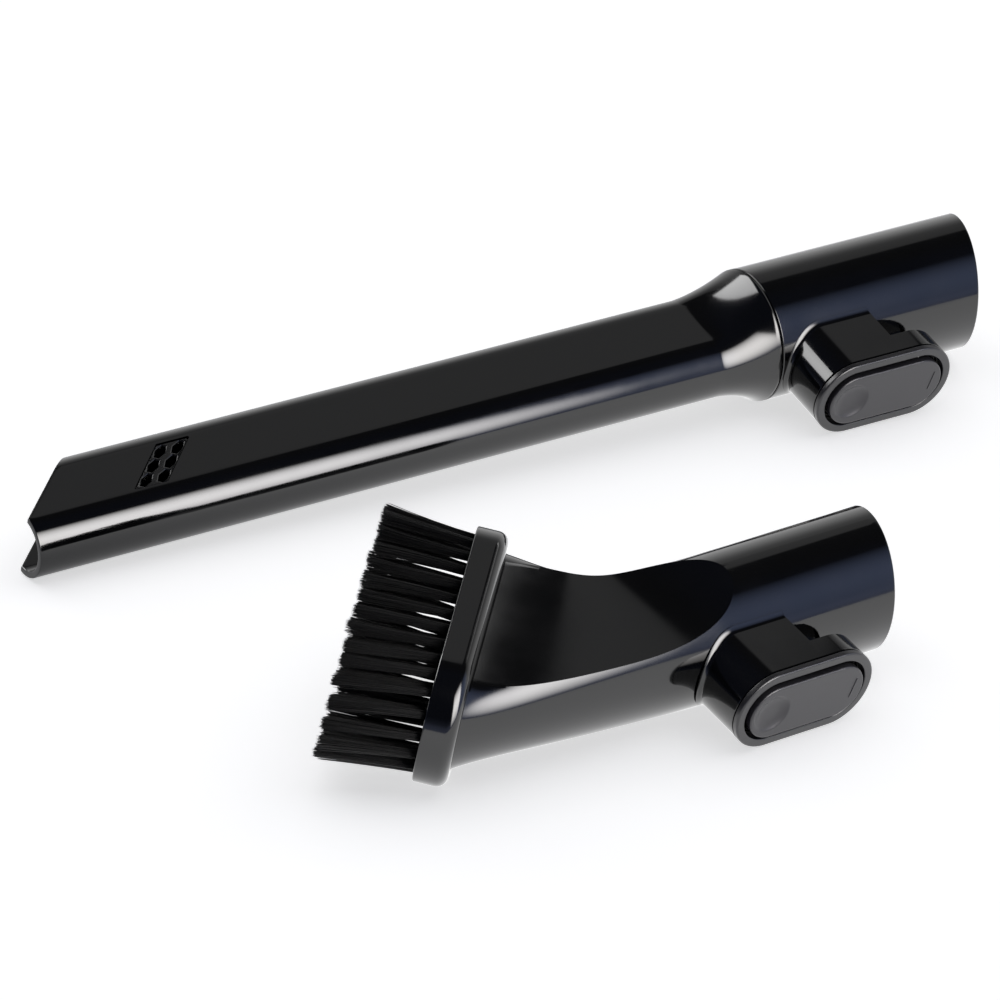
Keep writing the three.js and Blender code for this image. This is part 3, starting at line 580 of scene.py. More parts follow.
def window_block():
    """Upright D-shaped prism through the near wall of a collar: a flat edge and a half circle."""
    angle = np.linspace(-math.pi / 2, math.pi / 2, 41)
    arc = np.stack([WINDOW_CENTRE + WINDOW_RADIUS * np.cos(angle), WINDOW_RADIUS * np.sin(angle)], -1)
    outline = np.concatenate([[[WINDOW_START, -WINDOW_RADIUS]], arc, [[WINDOW_START, WINDOW_RADIUS]]])
    return prism(outline, *WINDOW_HEIGHTS)


def crevice_collar():
    """Round collar: its wall's outline is carried round the axis and sheared towards the oblique end."""
    taper_end = COLLAR_START + BORE_TAPER
    corners = [
        (COLLAR_START, COLLAR_RADIUS), (COLLAR_END, COLLAR_RADIUS), (COLLAR_END, BORE_RADIUS),
        (taper_end, BORE_RADIUS), (COLLAR_START, SPIGOT_BORE_RADIUS),
        (COLLAR_START - SPIGOT_LENGTH, SPIGOT_BORE_RADIUS), (COLLAR_START - SPIGOT_LENGTH, SPIGOT_RADIUS),
        (COLLAR_START, SPIGOT_RADIUS),
    ]
    radii = [0.35, LIP_ROUND, LIP_ROUND, 0.6, 0.6, 0.2, 0.2, 0.05]
    profile = rounded(corners, radii)
    x, radius = profile.T
    angle = np.linspace(0, 2 * math.pi, 193)[:-1]
    lean = END_SLOPE * smooth((x - taper_end) / (COLLAR_END - LIP_ROUND - taper_end))[:, None]
    y = radius[:, None] * np.cos(angle)
    z = radius[:, None] * np.sin(angle)
    grid = np.stack([x[:, None] + lean * y, y, z], -1)
    collar = make_piece("crevice_collar_shell", [closed_grid(grid, True)], "crevice")
    cut(collar, "window", [window_block()], "crevice")
    return collar


# Latch, the same on both tools


def prism(outline, low, high):
    """Upright block on an outline in the latch frame, between two heights above the collar axis."""
    grid = np.array([at_height(outline, w) for w in (low, high)])
    return closed_grid(from_latch(grid), False)


def bar(radius, low, high, along, height, steps=48):
    """Round bar across the latch between two values of v."""
    angle = np.arange(steps) * 2 * math.pi / steps
    circle = np.stack([along + radius * np.cos(angle), height + radius * np.sin(angle)], -1)
    grid = np.array([np.stack([circle[:, 0], np.full(steps, v), circle[:, 1]], -1) for v in (low, high)])
    return closed_grid(from_latch(grid), False)


def rectangle(low_u, high_u, low_v, high_v):
    return np.array([(low_u, low_v), (high_u, low_v), (high_u, high_v), (low_u, high_v)], float)


def latch_housing(tool):
    """Obround housing that sits on the collar like a saddle, open at the top, with its far half raised
    clear of the collar and a deeper well under the near end of the button."""
    bezel_bottom = LATCH_FACE - BEZEL_HEIGHT
    skirt_bottom = bezel_bottom - SKIRT_DEPTH
    top = bezel_bottom - BEZEL_GAP
    profile = [(0.0, 0.0), (0.0, top - 0.25), (0.07, top - 0.07), (0.25, top)]
    grid = from_latch(sweep_obround(LATCH_HALF_LENGTH, LATCH_HALF_WIDTH, profile))
    housing = make_piece(f"{tool}_latch_housing_shell", [closed_grid(grid, False)], tool)

    angle = np.arange(160) * 2 * math.pi / 160
    radius = COLLAR_RADIUS + SADDLE_GAP
    saddle = np.array([np.column_stack([np.full(160, x), radius * np.cos(angle), radius * np.sin(angle)])
                       for x in (-40.0, 40.0)])
    mouth_inset = BEZEL_RIM - SKIRT_WALL - SKIRT_GAP
    cavity_inset = BEZEL_RIM + BUTTON_GAP - CAVITY_GAP
    mouth = obround(LATCH_HALF_LENGTH - mouth_inset, LATCH_HALF_WIDTH - mouth_inset)
    cavity = obround(LATCH_HALF_LENGTH - cavity_inset, LATCH_HALF_WIDTH - cavity_inset)
    under = rectangle(OVERHANG_START, 30.0, -15.0, 15.0)
    slot = rectangle(HOOK_SLOT[0], HOOK_SLOT[1], -HOOK_SLOT_HALF_WIDTH, HOOK_SLOT_HALF_WIDTH)
    pin_reach = PIN_HALF_LENGTH + 0.3
    turn = np.linspace(math.pi / 2, 3 * math.pi / 2, 41)
    well_width = LATCH_HALF_WIDTH - cavity_inset - 0.02
    well_end = LATCH_HALF_WIDTH - LATCH_HALF_LENGTH
    arc = np.stack([well_end + well_width * np.cos(turn), well_width * np.sin(turn)], -1)
    well = np.concatenate([arc, [[CAVITY_STEP, -well_width], [CAVITY_STEP, well_width]]])
    for name, body in (
        ("saddle", closed_grid(saddle, False)),
        ("under", prism(under, -1.0, OVERHANG_HEIGHT)),
        ("mouth", prism(mouth, skirt_bottom - MOUTH_GAP, LATCH_FACE)),
        ("cavity", prism(cavity, OVERHANG_HEIGHT + OVERHANG_FLOOR, LATCH_FACE)),
        ("slot", prism(slot, 10.0, LATCH_FACE)),
        ("pivot", bar(PIVOT_HOLE_RADIUS, -pin_reach, pin_reach, PIVOT_ALONG, PIVOT_HEIGHT)),
        ("well", prism(well, CAVITY_FLOOR, LATCH_FACE - 2.0)),
    ):
        cut(housing, name, [body], tool)
    return housing


def latch_foot(tool):
    """Thin foot round the seat of the housing: from each point of the obround's seat it runs out a
    little way over the collar and rises in a hollow curve to the wall."""
    angle = np.linspace(math.pi / 2, 3 * math.pi / 2, 120)
    straight = LATCH_HALF_LENGTH - LATCH_HALF_WIDTH
    run = np.linspace(OVERHANG_START - 0.2, -straight, 30)[:-1]
    ones = np.ones(len(run))
    out_u = np.concatenate([0 * ones, np.cos(angle), 0 * ones])
    out_v = np.concatenate([ones, np.sin(angle), -ones])
    u = np.concatenate([run, -straight + LATCH_HALF_WIDTH * np.cos(angle), run[::-1]])
    v = LATCH_HALF_WIDTH * out_v
    reach, lift, tuck = 1.0, 0.12, -0.4
    section = [(tuck, 0.0), (reach, 0.0)]
    section += [(reach * (1 - math.sin(t)), lift + reach * (1 - math.cos(t)))
                for t in np.linspace(0, math.pi / 2, 7)]
    section += [(tuck, reach + lift)]
    rows = []
    for away, rise in section:
        pu, pv = u + away * out_u, v + away * out_v
        seat = np.sqrt(np.maximum((COLLAR_RADIUS + 0.03) ** 2 - pv ** 2, 0.0))
        rows.append(np.stack([pu, pv, seat + rise], -1))
    grid = np.array(rows).transpose(1, 0, 2)
    return make_piece(f"{tool}_latch_foot", [closed_grid(from_latch(grid), False)], tool)


def latch_bezel(tool):
    """Rim carried round the obround: a flat top with rounded edges, and a skirt that plugs into the
    housing."""
    bottom = LATCH_FACE - BEZEL_HEIGHT
    skirt_inset = BEZEL_RIM - SKIRT_WALL
    corners = [(0.0, LATCH_FACE), (0.0, bottom), (skirt_inset, bottom), (skirt_inset, bottom - SKIRT_DEPTH),
               (BEZEL_RIM, bottom - SKIRT_DEPTH), (BEZEL_RIM, LATCH_FACE)]
    profile = rounded(corners, [0.55, 0.25, 0.1, 0.15, 0.15, 0.3])
    grid = from_latch(sweep_obround(LATCH_HALF_LENGTH, LATCH_HALF_WIDTH, profile, 64, 8))
    return make_piece(f"{tool}_latch_rim", [closed_grid(grid, True)], tool)


def release_button(tool):
    """Rocker plate: an obround with a rounded edge, whose top rows close in to a circle and then fall by
    D (1 - (r/R)^4) to a shallow hollow, steepest at its brim and nearly level in its middle."""
    inset = BEZEL_RIM + BUTTON_GAP
    top = LATCH_FACE + BUTTON_RISE
    bottom = top - BUTTON_THICKNESS
    edge = 0.45
    turn = np.linspace(0, math.pi / 2, 7)
    profile = [(0.15, bottom), (0.0, bottom + 0.15)]
    profile += [(edge * (1 - math.cos(t)), top - edge + edge * math.sin(t)) for t in turn]
    rows = list(sweep_obround(LATCH_HALF_LENGTH - inset, LATCH_HALF_WIDTH - inset, profile, 48, 16))
    outline = rows[-1][:, :2]
    middle = np.array([DIMPLE_CENTRE, 0.0])
    ray = outline - middle
    ray /= np.linalg.norm(ray, axis=1, keepdims=True)
    brim = DIMPLE_RADIUS + 0.5
    circle = middle + brim * ray
    rows += [at_height(outline + (circle - outline) * share, top) for share in np.linspace(0, 1, 9)[1:]]
    radii = np.linspace(brim, 0.25, 30)[1:]
    bowl = -DIMPLE_DEPTH * (1 - (radii / DIMPLE_RADIUS) ** 4)
    softness = 0.06
    depth = -0.5 * (np.sqrt(bowl ** 2 + softness ** 2) - bowl)
    depth[0] = 0.0
    rows += [at_height(middle + radius * ray, top + fall) for radius, fall in zip(radii, depth)]
    return make_piece(f"{tool}_button_plate", [closed_grid(from_latch(np.array(rows)), False)], tool)


def button_details(tool):
    """Hook, pivot lugs and the raised dash of the button: upright outlines with rounded corners."""
    top = LATCH_FACE + BUTTON_RISE
    joined = top - BUTTON_THICKNESS + 0.3
    hook = rounded([(HOOK_START, HOOK_TIP), (HOOK_START + HOOK_TOE, HOOK_TIP), (HOOK_END, HOOK_RAMP),
                    (HOOK_END, joined), (HOOK_START, joined)], [0.4, 0.3, 0.8, 0.05, 0.05])
    low_u, high_u = PIVOT_ALONG - LUG_RADIUS, PIVOT_ALONG + LUG_RADIUS
    lug = rounded(rectangle(low_u, high_u, PIVOT_HEIGHT - LUG_RADIUS, joined), [2.2, 2.2, 0.05, 0.05], 12)

    def across(outline, low, high, edge):
        middle = outline.mean(0)
        rows = []
        for v, shrink in ((low, 1), (low + edge, 0), (high - edge, 0), (high, 1)):
            away = outline - middle
            away *= 1 - shrink * edge / np.linalg.norm(away, axis=1, keepdims=True)
            rows.append(at_height(middle + away, v)[:, [0, 2, 1]])
        return closed_grid(from_latch(np.array(rows)), False)

    hook_body = across(hook, -HOOK_HALF_WIDTH, HOOK_HALF_WIDTH, 0.2)
    hook_piece = make_piece(f"{tool}_button_hook", [hook_body], tool)
    lugs = [across(lug, *sorted((side * LUG_SPAN[0], side * LUG_SPAN[1])), 0.15) for side in (-1, 1)]
    lug_piece = make_piece(f"{tool}_button_lugs", lugs, tool)
    cut(lug_piece, "hole", [bar(PIVOT_HOLE_RADIUS, -8.0, 8.0, PIVOT_ALONG, PIVOT_HEIGHT)], tool)
    half = DASH_LENGTH / 2
    dash = rounded([(DASH_START, -half), (DASH_START + DASH_WIDTH, -half),
                    (DASH_START + DASH_LEAN + DASH_WIDTH, half), (DASH_START + DASH_LEAN, half)], 0.12)
    middle = dash.mean(0)
    rows = [at_height(middle + (dash - middle) * scale, w)
            for scale, w in ((1.0, top - 0.05), (1.0, top + DASH_HEIGHT * 0.6), (0.9, top + DASH_HEIGHT))]
    dash_piece = make_piece(f"{tool}_button_dash", [closed_grid(from_latch(np.array(rows)), False)], tool)
    return hook_piece, lug_piece, dash_piece


def add_latch(tool):
    body, moving = f"{tool}_tool", f"{tool}_button"
    finish_piece(latch_housing(tool), GLOSS, body, f"{tool}_latch_housing")
    finish_piece(latch_foot(tool), GLOSS, body)
    finish_piece(latch_bezel(tool), SATIN, body, f"{tool}_latch_bezel")
    finish_piece(release_button(tool), BUTTON, moving, f"{tool}_release_button")
    for piece in button_details(tool):
        finish_piece(piece, BUTTON, moving)


# Dusting brush


def neck_loop(half_length, side_radii, half_thickness, flat_on_round, side_steps, flat_steps):
    """Section of the neck: an arc at each side, R(1 - cos a) in from the end, and two flats. A side as
    round as the half thickness leaves no edge beside the flats, and a wider arc meets them at an edge.
    flat_on_round puts the flats' points back on the circle."""
    radii = np.array(side_radii, float)
    corners = np.arcsin(np.minimum(half_thickness / radii, 1.0))
    ends = half_length - radii * (1 - np.cos(corners))
    share = np.linspace(-1, 1, side_steps + 1)
    across = np.linspace(0, 1, flat_steps + 1)[1:-1]
    halves = []
    for side, radius, corner, this, other in zip((1, -1), radii, corners, ends, ends[::-1]):
        angle = corner * share
        arc = np.stack([half_length - radius * (1 - np.cos(angle)), radius * np.sin(angle)], -1)
        if flat_on_round:
            turn = corner + (math.pi - 2 * corner) * across
            flat = radius * np.stack([np.cos(turn), np.sin(turn)], -1)
        else:
            flat = np.stack([this * (1 - across) - other * across, np.full(len(across), half_thickness)], -1)
        halves += [side * arc, side * flat]
    return np.concatenate(halves)


def bezier(points, share):
    """Place at a share along a cubic curve with four control points."""
    a, b, c, d = (np.array(p, float) for p in points)
    s = 1 - share
    return s ** 3 * a + 3 * s * s * share * b + 3 * s * share * share * c + share ** 3 * d


NECK_STEPS = (56, 40)


def neck_ring(share, inset):
    """Ring of the neck. Its two ends run along an outer and an inner curve from the collar to the head,
    and its thickness falls from the collar's to the waist's and swells again to the head's."""
    out = np.array([-math.cos(HEAD_ANGLE), math.sin(HEAD_ANGLE)])
    along = np.array([-math.sin(HEAD_ANGLE), -math.cos(HEAD_ANGLE)])
    end_centre = np.array(HEAD_CENTRE) - BAND_DEPTH * out
    near_end = end_centre + (HEAD_HALF_LENGTH - NECK_INSET) * along
    far_end = end_centre - (HEAD_HALF_LENGTH - NECK_INSET) * along
    near = bezier([(SPOON_START, -COLLAR_RADIUS), (SPOON_START - OUTER_SIDE_REACH, -COLLAR_RADIUS),
                   near_end + np.array([OUTER_HEAD_REACH, -OUTER_HEAD_DROP]), near_end], share)
    far = bezier([(SPOON_START, COLLAR_RADIUS), (SPOON_START - INNER_SIDE_REACH, COLLAR_RADIUS),
                  far_end - INNER_HEAD_REACH * out, far_end], share)
    middle = (near + far) / 2
    half_length = np.linalg.norm(near - far) / 2
    direction = (near - far) / (2 * half_length)
    fall = max(1 - share / WAIST_SHARE, 0.0) ** SPOON_POWER
    rise = max((share - WAIST_SHARE) / (1 - WAIST_SHARE), 0.0) ** SWELL_POWER
    half_thickness = (NECK_WAIST + (COLLAR_RADIUS - SPOON_EDGE - NECK_WAIST) * fall
                      + (HEAD_HALF_WIDTH - NECK_INSET - NECK_WAIST) * rise)
    rounding = [float(smooth((share - start) / (1 - start))) for start in ROUNDING_SHARES]
    side_radii = [COLLAR_RADIUS + (half_thickness - COLLAR_RADIUS) * r - inset for r in rounding]
    loop = neck_loop(half_length - inset, side_radii, half_thickness - inset, False, *NECK_STEPS)
    flat = middle + direction * loop[:, :1]
    return np.column_stack([flat, loop[:, 1]])


def neck_collar_ring(x, radius, slope):
    """Ring of the brush's collar with its points in the order of the neck's rings."""
    cut = (COLLAR_RADIUS - SPOON_EDGE) * radius / COLLAR_RADIUS
    loop = neck_loop(radius, (radius, radius), cut, True, *NECK_STEPS)
    return np.column_stack([x - slope * loop[:, 0], -loop[:, 0], loop[:, 1]])


def brush_neck():
    """Shell of the collar, the scooped neck and its swell to the head: one closed wall, out along the
    outside from the head to the open end and back along the inside."""
    out = np.array([-math.cos(HEAD_ANGLE), math.sin(HEAD_ANGLE), 0.0])
    push = (BAND_DEPTH - BAND_POCKET) * out
    shares = np.linspace(1, 0, 110) ** 1.2
    outer = [neck_ring(1.0, 0.0) + push] + [neck_ring(share, 0.0) for share in shares]
    inner = [neck_ring(1.0, NECK_WALL) + push] + [neck_ring(share, NECK_WALL) for share in shares[::3]]
    inner.append(neck_ring(0.0, NECK_WALL))
    collar_from = SPOON_START + SPOON_STEP
    lip_from = COLLAR_END - LIP_ROUND
    lean_from = collar_from + 8
    for x in np.linspace(collar_from, lip_from, 24):
        lean = END_SLOPE * float(smooth((x - lean_from) / (lip_from - lean_from)))
        outer.append(neck_collar_ring(x, COLLAR_RADIUS, lean))
    inner += [neck_collar_ring(collar_from + COLLAR_RADIUS - BORE_RADIUS, BORE_RADIUS, 0.0),
              neck_collar_ring(lip_from, BORE_RADIUS, END_SLOPE)]
    for turn in np.linspace(0, math.pi / 2, 7)[1:]:
        x, inward = COLLAR_END - LIP_ROUND * (1 - math.sin(turn)), LIP_ROUND * (1 - math.cos(turn))
        outer.append(neck_collar_ring(x, COLLAR_RADIUS - inward, END_SLOPE))
        inner.append(neck_collar_ring(x, BORE_RADIUS + inward, END_SLOPE))
    grid = np.array(outer + inner[::-1])
    neck = make_piece("brush_neck_shell", [closed_grid(grid, True)], "brush", 24)
    cut(neck, "window", [window_block()], "brush", 24)
    return neck


def rim_band():
    """Band round the brush head, carried round its obround: a deep outer wall with a fine front lip,
    a well-rounded back and a pocket for the bristle carrier."""
    opening = NECK_INSET - NECK_GAP
    corners = [(0.0, 0.0), (0.0, -BAND_DEPTH), (opening, -BAND_DEPTH), (opening, -BAND_POCKET),
               (BAND_LIP, -BAND_POCKET), (BAND_LIP, 0.0)]
    profile = rounded(corners, [0.5, BAND_BACK_ROUND, 0.35, 0.1, 0.1, 0.3], 10)
    grid = from_head(sweep_obround(HEAD_HALF_LENGTH, HEAD_HALF_WIDTH, profile, 64, 40))
    return make_piece("brush_head_band", [closed_grid(grid, True)], "brush")


def bristle_carrier():
    """Flat ring inside the band that holds the tufts, with softly rounded edges."""
    bottom = -BAND_POCKET + CARRIER_GAP
    top = bottom + CARRIER_THICKNESS
    outer = BAND_LIP + CARRIER_GAP
    corners = [(outer, top), (outer, bottom), (outer + CARRIER_WIDTH, bottom), (outer + CARRIER_WIDTH, top)]
    grid = from_head(sweep_obround(HEAD_HALF_LENGTH, HEAD_HALF_WIDTH, rounded(corners, 0.3), 48, 24))
    return make_piece("brush_tuft_plate", [closed_grid(grid, True)], "brush")


STRAIGHT = HEAD_HALF_LENGTH - HEAD_HALF_WIDTH
TUFT_ROWS = ((3.3, 8, 8), (6.9, 8, 5))
STRANDS = 56
TUFT_RADIUS = 1.1
TUFT_FAN = (2.05, 1.2)
TUFT_LEAN = (1.0, 0.4)
HEAD_SPLAY = (4.6, -0.9)
STRAND_RADIUS = 0.11
GOLDEN_ANGLE = 2.39996
TUFT_TILT = 0.35
STRAND_TILT = 0.22
TUFT_BOW = 0.3
TUFT_TRIM = 0.32
STRAND_TRIM = 0.22
TRIM_LEFT = 1.0
TRIM_DOME = 0.33


def tuft_places(side):
    """Centres of the tufts on one side of the ring, row by row, each row as equal shares of its run."""
    places = []
    for inset, along_side, round_end in TUFT_ROWS:
        radius = HEAD_HALF_WIDTH - inset
        if side in ("near", "far"):
            sign = 1 if side == "near" else -1
            angle = ((np.arange(round_end) + 0.5) / round_end - 0.5) * math.pi
            places.append(np.stack([sign * (STRAIGHT + radius * np.cos(angle)), radius * np.sin(angle)], -1))
        else:
            sign = 1 if side == "upper" else -1
            u = (2 * (np.arange(along_side) + 0.5) / along_side - 1) * STRAIGHT
            places.append(np.stack([u, np.full(along_side, sign * radius)], -1))
    return np.concatenate(places)


def backing_slice(side):
    """Outline swept through the slice of backing that the tufts of one side stand in."""
    bottom = -BAND_POCKET + CARRIER_GAP + CARRIER_THICKNESS + BACKING_GAP
    outer = BAND_LIP + CARRIER_GAP + BACKING_INSET
    inner = BAND_LIP + CARRIER_GAP + CARRIER_WIDTH - BACKING_INSET
    middle, half = HEAD_HALF_WIDTH - (outer + inner) / 2, (inner - outer) / 2
    section = rounded(rectangle(-half, half, bottom, bottom + BACKING_THICKNESS), 0.15)
    if side in ("near", "far"):
        sign = 1 if side == "near" else -1
        gap = BACKING_END_GAP / middle
        angle = np.linspace(-math.pi / 2 + gap, math.pi / 2 - gap, 48)
        spine = np.stack([sign * (STRAIGHT + middle * np.cos(angle)), middle * np.sin(angle)], -1)
        across = np.stack([sign * np.cos(angle), np.sin(angle)], -1)
    else:
        sign = 1 if side == "upper" else -1
        u = np.linspace(-STRAIGHT + BACKING_END_GAP, STRAIGHT - BACKING_END_GAP, 8)
        spine = np.stack([u, np.full(8, sign * middle)], -1)
        across = np.tile([0.0, float(sign)], (8, 1))
    flat = spine[:, None, :] + across[:, None, :] * section[None, :, :1]
    height = np.broadcast_to(section[None, :, 1:], flat.shape[:2] + (1,))
    return closed_grid(from_head(np.concatenate([flat, height], -1)), False)


def strand_bodies(side, seed):
    """All strands of one side as one grid of thin tapered five-sided tubes. A strand starts at its place
    in a sunflower spread of its tuft, leans outward so that the tuft fans open, and bows a little."""
    chance = np.random.default_rng(seed)
    tufts = tuft_places(side)
    count = len(tufts) * STRANDS
    order = np.tile(np.arange(STRANDS), len(tufts))
    distance = TUFT_RADIUS * np.sqrt((order + 0.5) / STRANDS)
    angle = order * GOLDEN_ANGLE + np.repeat(chance.uniform(0, 2 * math.pi, len(tufts)), STRANDS)
    offset = np.stack([distance * np.cos(angle), distance * np.sin(angle)], -1)
    centre = np.repeat(tufts, STRANDS, 0)
    lean = np.repeat(chance.normal(0, TUFT_TILT, (len(tufts), 2)), STRANDS, 0)
    lean = lean + chance.normal(0, STRAND_TILT, (count, 2))
    bow = np.repeat(chance.normal(0, TUFT_BOW, (len(tufts), 2)), STRANDS, 0)
    root = -BAND_POCKET + CARRIER_GAP + CARRIER_THICKNESS + BACKING_GAP + BACKING_THICKNESS - 0.3
    length = BRISTLE_LENGTH + TRIM_LEFT - root + np.repeat(chance.normal(0, TUFT_TRIM, len(tufts)), STRANDS)
    length += chance.normal(0, STRAND_TRIM, count) - TRIM_DOME * (distance / TUFT_RADIUS) ** 3
    share = np.array([0.0, 0.25, 0.5, 0.75, 0.96, 1.0])
    thickness = STRAND_RADIUS * np.array([1.0, 1.0, 0.97, 0.92, 0.8, 0.35])
    t = share[None, :, None]
    path = centre[:, None] + offset[:, None] * (1 + (np.array(TUFT_FAN) - 1) * t ** 1.3)
    path = path + lean[:, None] * np.array(TUFT_LEAN) * t ** 2
    splay = centre / np.array([HEAD_HALF_LENGTH, HEAD_HALF_WIDTH]) * np.array(HEAD_SPLAY)
    path = path + bow[:, None] * 4 * t * (1 - t) * 0.5 + splay[:, None] * t
    height = root + length[:, None] * share[None, :]
    sides = 5
    corner = np.arange(sides) * 2 * math.pi / sides
    around = np.stack([np.cos(corner), np.sin(corner)], -1)
    flat = path[:, :, None, :] + thickness[None, :, None, None] * around[None, None]
    up = np.broadcast_to(height[:, :, None, None], flat.shape[:3] + (1,))
    grid = from_head(np.concatenate([flat, up], -1))
    pole = len(share) * sides
    ends = grid[:, [0, -1]].mean(2)
    points = np.concatenate([grid.reshape(count, -1, 3), ends], 1)
    starts = (np.arange(count) * (pole + 2))[:, None, None]
    blocks = [grid_faces(len(share), sides, False), cap_faces(0, sides, pole)[:, ::-1],
              cap_faces(pole - sides, sides, pole + 1)]
    return points.reshape(-1, 3), [(block[None] + starts).reshape(-1, block.shape[1]) for block in blocks]


def add_bristles():
    for number, side in enumerate(("near", "far", "upper", "lower")):
        bodies = [strand_bodies(side, 11 + number), backing_slice(side)]
        piece = make_piece(f"brush_tufts_{side}", bodies, "brush", 50)
        finish_piece(piece, NYLON, "brush_tool", f"brush_bristles_{side}")


# Stage, camera and lamps

FLOOR_HALF = 4.0
FLOOR_DROP = 0.0002
FLOOR_LIFT = 0.62
FLOOR_MIRRORED = (0.36, 1.3)
FLOOR_BRIGHTER_WAY = (0.6, -0.8, 0.0)
FLOOR_BRIGHTER_SPAN = (-0.15, 0.01)
CAMERA_AZIMUTH = 33.0
CAMERA_ELEVATION = 26.82
CAMERA_ROLL = 3.18
CAMERA_DISTANCE = 2069.9
CAMERA_AIM = (-15.5, 52.5, 0.0)
CAMERA_LENS = 288.0


def add_floor():
    """Wide pale sweep under the tools. Diffuse paper, with a glow given to camera and transmission rays,
    so that it reads as white and still takes the shadows, and to glossy rays, which brightens one way."""
    mesh = bpy.data.meshes.new("floor")
    corners = [(x * FLOOR_HALF, y * FLOOR_HALF, -FLOOR_DROP) for x, y in ((-1, -1), (1, -1), (1, 1), (-1, 1))]
    mesh.from_pydata(corners, [], [(0, 1, 2, 3)])
    floor = bpy.data.objects.new("floor", mesh)
    bpy.context.scene.collection.objects.link(floor)
    material = bpy.data.materials.new("white paper sweep")
    material.use_nodes = True
    tree = material.node_tree
    tree.nodes.clear()
    out = add_node(tree, "ShaderNodeOutputMaterial")
    paper = add_node(tree, "ShaderNodeBsdfDiffuse", {"Color": linear("#eeeeef")})
    ray = add_node(tree, "ShaderNodeLightPath").outputs
    place = add_node(tree, "ShaderNodeTexCoord").outputs["Object"]
    nearness = maths(tree, "DOT_PRODUCT", place, FLOOR_BRIGHTER_WAY, kind="ShaderNodeVectorMath")
    mirrored = map_range(tree, nearness, *FLOOR_BRIGHTER_SPAN, *FLOOR_MIRRORED)
    strength = maths(tree, "MULTIPLY", ray["Is Glossy Ray"], mirrored)
    for kind in ("Is Camera Ray", "Is Transmission Ray"):
        strength = maths(tree, "MULTIPLY_ADD", ray[kind], FLOOR_LIFT, strength)
    glow = add_node(tree, "ShaderNodeEmission", {"Color": (1, 1, 1, 1)}, Strength=strength)
    mixed = add_node(tree, "ShaderNodeAddShader")
    tree.links.new(paper.outputs[0], mixed.inputs[0])
    tree.links.new(glow.outputs[0], mixed.inputs[1])
    tree.links.new(mixed.outputs[0], out.inputs["Surface"])
    mesh.materials.append(material)


def add_camera():
    """Camera from azimuth, elevation and roll, looking at the point where its axis meets the floor."""
    azimuth, elevation, roll = (math.radians(a) for a in (CAMERA_AZIMUTH, CAMERA_ELEVATION, CAMERA_ROLL))
    forward = Vector((math.sin(azimuth) * math.cos(elevation), math.cos(azimuth) * math.cos(elevation),
                      -math.sin(elevation)))
    level = Vector((math.cos(azimuth), -math.sin(azimuth), 0.0))
    upright = level.cross(forward)
    right = level * math.cos(roll) + upright * math.sin(roll)
    up = right.cross(forward)
    turn = Matrix((right, up, -forward)).transposed().to_4x4()
    data = bpy.data.cameras.new("camera")
    data.lens = CAMERA_LENS
    data.sensor_width = 36.0
    data.clip_end = 20.0
    camera = bpy.data.objects.new("camera", data)
    bpy.context.scene.collection.objects.link(camera)
    place = (Vector(CAMERA_AIM) - forward * CAMERA_DISTANCE) * MM
    camera.matrix_world = Matrix.Translation(place) @ turn
    bpy.context.scene.camera = camera


def toward(azimuth, elevation):
    """Direction from the tools. Azimuth 0 is along +Y and 90 along +X."""
    a, e = math.radians(azimuth), math.radians(elevation)
    return Vector((math.sin(a) * math.cos(e), math.cos(a) * math.cos(e), math.sin(e)))


def add_lamp(name, azimuth, elevation, distance, size, glow, colour, aim=(0.0, 0.0, 0.02), soft=0.0,
             powers=(7.0, 2.0)):
    """Rectangular lamp that faces aim. glow is its brightness beside white paper at 1. soft is the share
    of it that fades from the middle to the edges as (1 - a^m)(1 - b^n), m and n being powers."""
    direction = toward(azimuth, elevation)
    data = bpy.data.lights.new(name, "AREA")
    data.shape = "RECTANGLE"
    data.size, data.size_y = size
    data.energy = glow * math.pi * size[0] * size[1]
    data.color = linear(colour)[:3]
    lamp = bpy.data.objects.new(name, data)
    bpy.context.scene.collection.objects.link(lamp)
    lamp.location = Vector(aim) + direction * distance
    lamp.rotation_euler = direction.to_track_quat("Z", "Y").to_euler()
    if soft:
        data.use_nodes = True
        tree = data.node_tree
        place = add_node(tree, "ShaderNodeNewGeometry").outputs["Parametric"]
        centred = maths(tree, "MULTIPLY_ADD", place, (2, 2, 0), (-1, -1, 0),
                        kind="ShaderNodeVectorMath", output="Vector")
        parts = add_node(tree, "ShaderNodeSeparateXYZ", Vector=centred).outputs
        fades = []
        for axis, power in zip("XY", powers):
            raised = maths(tree, "POWER", maths(tree, "ABSOLUTE", parts[axis]), power)
            fades.append(maths(tree, "MULTIPLY_ADD", raised, -soft, 1.0))
        tree.links.new(maths(tree, "MULTIPLY", *fades), tree.nodes["Emission"].inputs["Strength"])
    return lamp


WALL_AZIMUTH = 38.0
WALL_EDGE = (0.1, 0.45)
WALL_STEPS = ((0.0, 1.0), (0.17, 0.95), (0.34, 0.8), (0.5, 0.45), (0.6, 0.3), (0.635, 0.26), (0.66, 0.04),
              (1.0, 0.03))
WALL_TINT = (1.0, 1.0, 1.02)
LOW_STEPS = ((0.0, 0.5), (0.1, 0.42), (0.2, 0.15), (0.35, 0.045))
LOW_TINT = (0.8, 0.9, 1.35)
PANEL_AZIMUTHS = (28.0, 36.0, 49.2, 51.4)
PANEL_TOP = (0.82, 0.86)
PANEL_GLOW = 0.31
SIDE_GLOW_AZIMUTHS = (53.5, 58.0, 66.0, 74.0)
SIDE_GLOW_TOP = (0.88, 0.912)
SIDE_GLOW_LEAN = 0.254
SIDE_GLOW_FOOT = (0.5, 0.58)
SIDE_GLOW = 2.2


